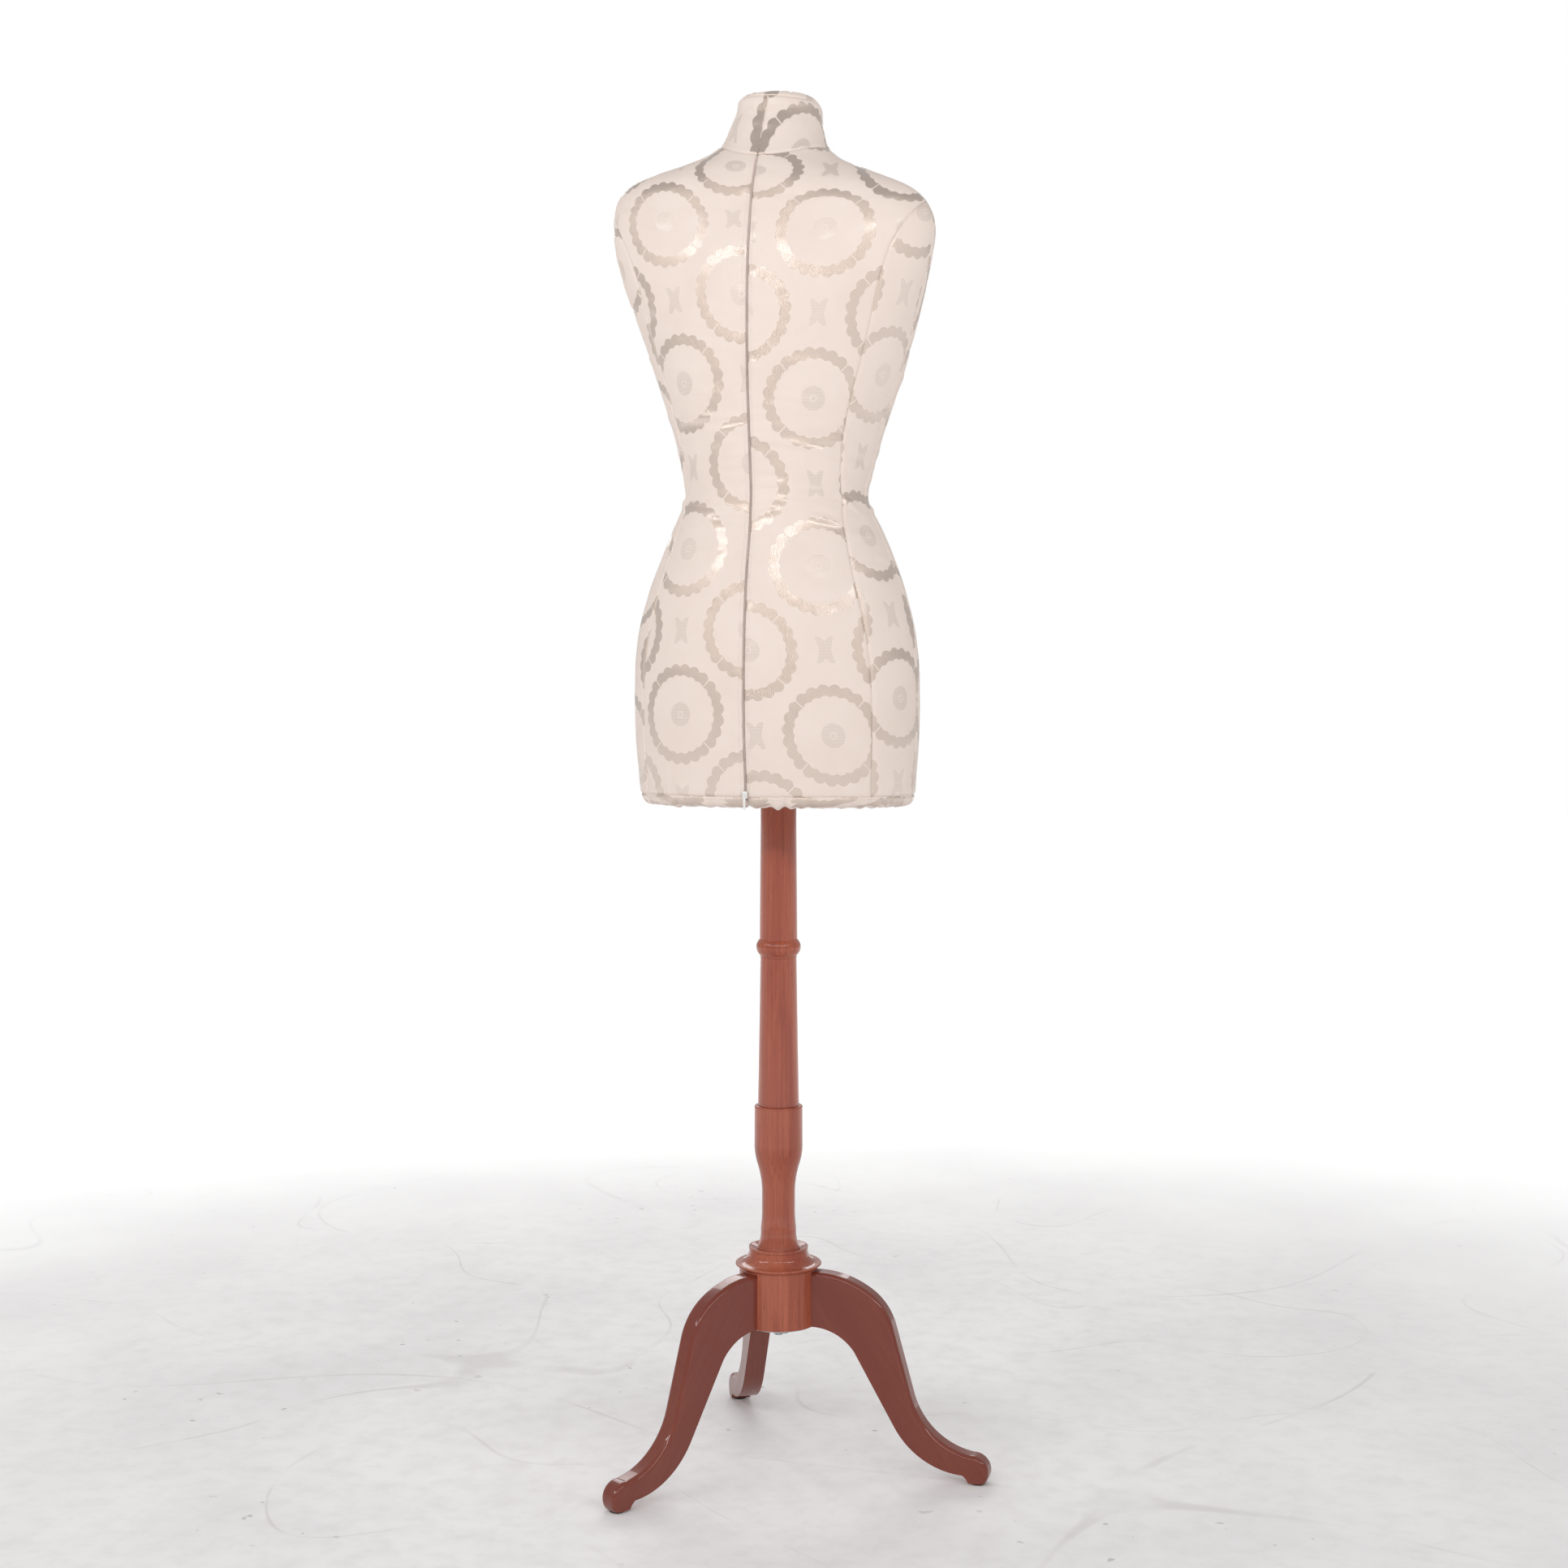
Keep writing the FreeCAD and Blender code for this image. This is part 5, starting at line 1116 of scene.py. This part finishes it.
def lathe(name, node, corners):
    """A piece turned on the column's axis from the corners of its half profile (radius, height), in
    millimetres.  A corner with two more numbers starts an arc.  Each run begins and ends with a short
    step, which gives its corners a small soft edge."""
    hollow = corners[0][0] > 0
    rows = []
    for corner, following in zip(corners, corners[1:] + corners[:1] * hollow):
        if len(corner) > 2:
            run = bow(corner[:2], following[:2], *corner[2:])
        else:
            run = np.array([corner, following[:2]])
        lengths = np.linalg.norm(np.diff(run, axis=0), axis=1)
        at = np.concatenate([[0], np.cumsum(lengths)])
        ease = min(EASED_EDGE, at[-1] / 3)
        stops = np.unique(np.concatenate([[0, ease], at[1:-1], [at[-1] - ease]]))
        rows.append(np.stack([np.interp(stops, at, run[:, axis]) for axis in (0, 1)], -1))
    profile = np.concatenate(rows) * MM
    if not hollow:
        profile = profile[1:]
        profile = np.concatenate([profile, [[min(profile[-1, 0], EASED_EDGE * MM), corners[-1][1] * MM]]])
    columns = LATHE_COLUMNS
    turn = np.arange(columns) * (2 * math.pi / columns)
    points = np.stack([profile[:, :1] * np.cos(turn), profile[:, :1] * np.sin(turn),
                       np.repeat(profile[:, 1:], columns, 1)], -1)
    faces = grid_faces(len(profile), columns, True).tolist()
    ring = np.arange(columns)
    last = (len(profile) - 1) * columns
    if hollow:
        faces += np.stack([last + ring, last + np.roll(ring, -1), np.roll(ring, -1), ring], -1).tolist()
    else:
        faces += [ring[::-1].tolist(), (last + ring).tolist()]
    piece = new_piece(name, points.reshape(-1, 3), faces)
    piece.data.materials.append(COLUMN_WOOD)
    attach(piece, "stand")
    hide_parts(node)


lathe("turned_collar", "hub_collar", [
    (24.6, 224.6), (45, 224.6), (49.5, 227.9, 1.6, 1), (47.8, 229.8, 13, -1), (35.2, 237.5), (33, 245.2),
    (34, 245.2), (34, 248), (32.2, 248), (24.6, 245)])
lathe("turned_vase", "lower_column", [
    (0, 224.6), (24.5, 224.6), (24.5, 246.5, 46, -1), (20.4, 269, 150, -1), (19, 288), (19, 311, 110, -1),
    (24, 342, 75, 1), (27.8, 369), (27.8, 407.2, 2.2, 1), (26.4, 410), (0, 410)])
lathe("turned_shaft", "middle_column", [(0, 410), (23.85, 410), (20.8, 580.5), (0, 580.5)])
lathe("turned_post", "upper_post", [
    (0, 580.5), (21.2, 580.5), (21.2, 582.6), (22.6, 584, 11.7, 1), (22.6, 600), (21.75, 601.5), (20.2, 786),
    (19, 786), (19, 941), (16, 944), (0, 944)])

# ---------------------------------------------------------------------------------------------
# Floor and light
# ---------------------------------------------------------------------------------------------

FLOOR_REACH = 14.0
FLOOR_SIDES = 96
FLOOR_FADE = (0.7, 3.0)
FLOOR_PALE = (0.84, 0.83, 0.825, 1)
FLOOR_MOTTLE = (0.75, 0.735, 0.735, 1)
FLOOR_DULL = (0.66, 0.63, 0.63, 1)
FLOOR_SPECK = (0.30, 0.28, 0.27, 1)
FLOOR_SCRATCH = (0.45, 0.42, 0.41, 1)
FLOOR_FAR = (0.9, 0.9, 0.9, 1)
FLOOR_FAR_GLOW = (0.60, 0.60, 0.60, 1)
SCRATCHES = ((0.0, 0.9), (7.3, 1.7))


def make_floor():
    """A wide pale disc with mottling, specks and long curved scratches, that brightens to white with
    distance and glows faintly in its own tone near the stand, painted light that lifts the shade under
    it.  The scratches follow the level lines of a smooth noise."""
    turn = np.arange(FLOOR_SIDES) * (2 * math.pi / FLOOR_SIDES)
    rim = np.stack([FLOOR_REACH * np.cos(turn), FLOOR_REACH * np.sin(turn), 0 * turn], -1)
    floor = new_piece("floor", rim, [list(range(FLOOR_SIDES))])
    material, graph, shader = new_material("Pale floor")
    place = graph.add("ShaderNodeTexCoord").outputs["Object"]
    fine = graph.noise(place, 30.0, 5.0, 0.65)
    mottle = graph.noise(place, 2.2, 6.0, 0.6)
    tone = graph.mix(graph.range(mottle, 0.38, 0.66), FLOOR_PALE, FLOOR_MOTTLE)
    tone = graph.mix(graph.range(fine, 0.45, 0.75, 0, 0.35), tone, FLOOR_DULL)
    speck = graph.math("MULTIPLY", graph.range(graph.noise(place, 42.0, 2.0, 0.5), 0.70, 0.73),
                       graph.range(mottle, 0.5, 0.6))
    tone = graph.mix(graph.math("MULTIPLY", speck, 0.55), tone, FLOOR_SPECK)
    patchy = graph.range(graph.noise(place, 5.0, 3.0, 0.5), 0.45, 0.6)
    for shift, scale in SCRATCHES:
        lines = graph.noise(graph.vector("ADD", place, (shift, shift, 0)), scale, 1.0, 0.4)
        apart = graph.math("ABSOLUTE", graph.math("SUBTRACT", lines, 0.5))
        scratch = graph.math("MULTIPLY", graph.range(apart, 0.0022, 0.0008), patchy)
        tone = graph.mix(graph.math("MULTIPLY", scratch, 0.30), tone, FLOOR_SCRATCH)
    reach = graph.add("ShaderNodeVectorMath", {0: place}, operation="LENGTH").outputs["Value"]
    far = graph.range(reach, *FLOOR_FADE, smooth=True)
    # The floor glows faintly in its own tone near the stand, painted light that lifts the shade under the
    # stand, and grey far off, where it fades into the white backdrop.
    set_shader(graph, shader, Base_Color=graph.mix(far, tone, FLOOR_FAR),
               Roughness=graph.range(fine, 0.3, 0.7, 0.5, 0.7), Specular_IOR_Level=0.3,
               Emission_Color=graph.mix(far, graph.mix(0.88, tone, (0, 0, 0, 1)), FLOOR_FAR_GLOW),
               Emission_Strength=1.0, Normal=bump(graph, fine, 0.0003, 0.4))
    floor.data.materials.append(material)


make_floor()


def softbox(name, turn, height, reach, size, power):
    """An area light on a circle round the form, turned from the camera's side, aimed at its middle."""
    data = bpy.data.lights.new(name, "AREA")
    data.shape = "RECTANGLE"
    data.size, data.size_y = size
    data.energy = power
    lamp = bpy.data.objects.new(name, data)
    bearing = math.pi / 2 + CAMERA_TURN - math.radians(turn)
    lamp.location = (reach * math.cos(bearing), reach * math.sin(bearing), height)
    aim = lamp.location.copy()
    aim.z -= FORM_MIDDLE
    lamp.rotation_euler = aim.to_track_quat("Z", "Y").to_euler()
    bpy.context.scene.collection.objects.link(lamp)


FORM_MIDDLE = (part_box("cover_front")[0].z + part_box("cover_front")[1].z) / 2
STRIP = {"height": 2.85, "reach": 3.6, "size": (3.3, 0.19), "power": 30}
FILL = {"height": 2.3, "reach": 3.4, "size": (2.6, 1.4), "power": 36}
for name, turn in (("key_right", -38), ("key", 12), ("key_left", 62)):
    softbox(name, turn, **STRIP)
softbox("front", 175, **FILL)
WORLD_LIGHT = 0.45


def make_world():
    """White surroundings: full white where the camera looks straight at them, softer as a light."""
    world = bpy.data.worlds.new("studio")
    world.use_nodes = True
    graph = Graph(world.node_tree)
    shader = world.node_tree.nodes["Background"]
    seen = graph.add("ShaderNodeLightPath").outputs["Is Camera Ray"]
    graph.put(shader.inputs["Color"], (1, 1, 1, 1))
    graph.put(shader.inputs["Strength"], graph.range(seen, 0, 1, WORLD_LIGHT, 1.0))
    bpy.context.scene.world = world


make_world()
bpy.context.scene.view_settings.view_transform = "Standard"
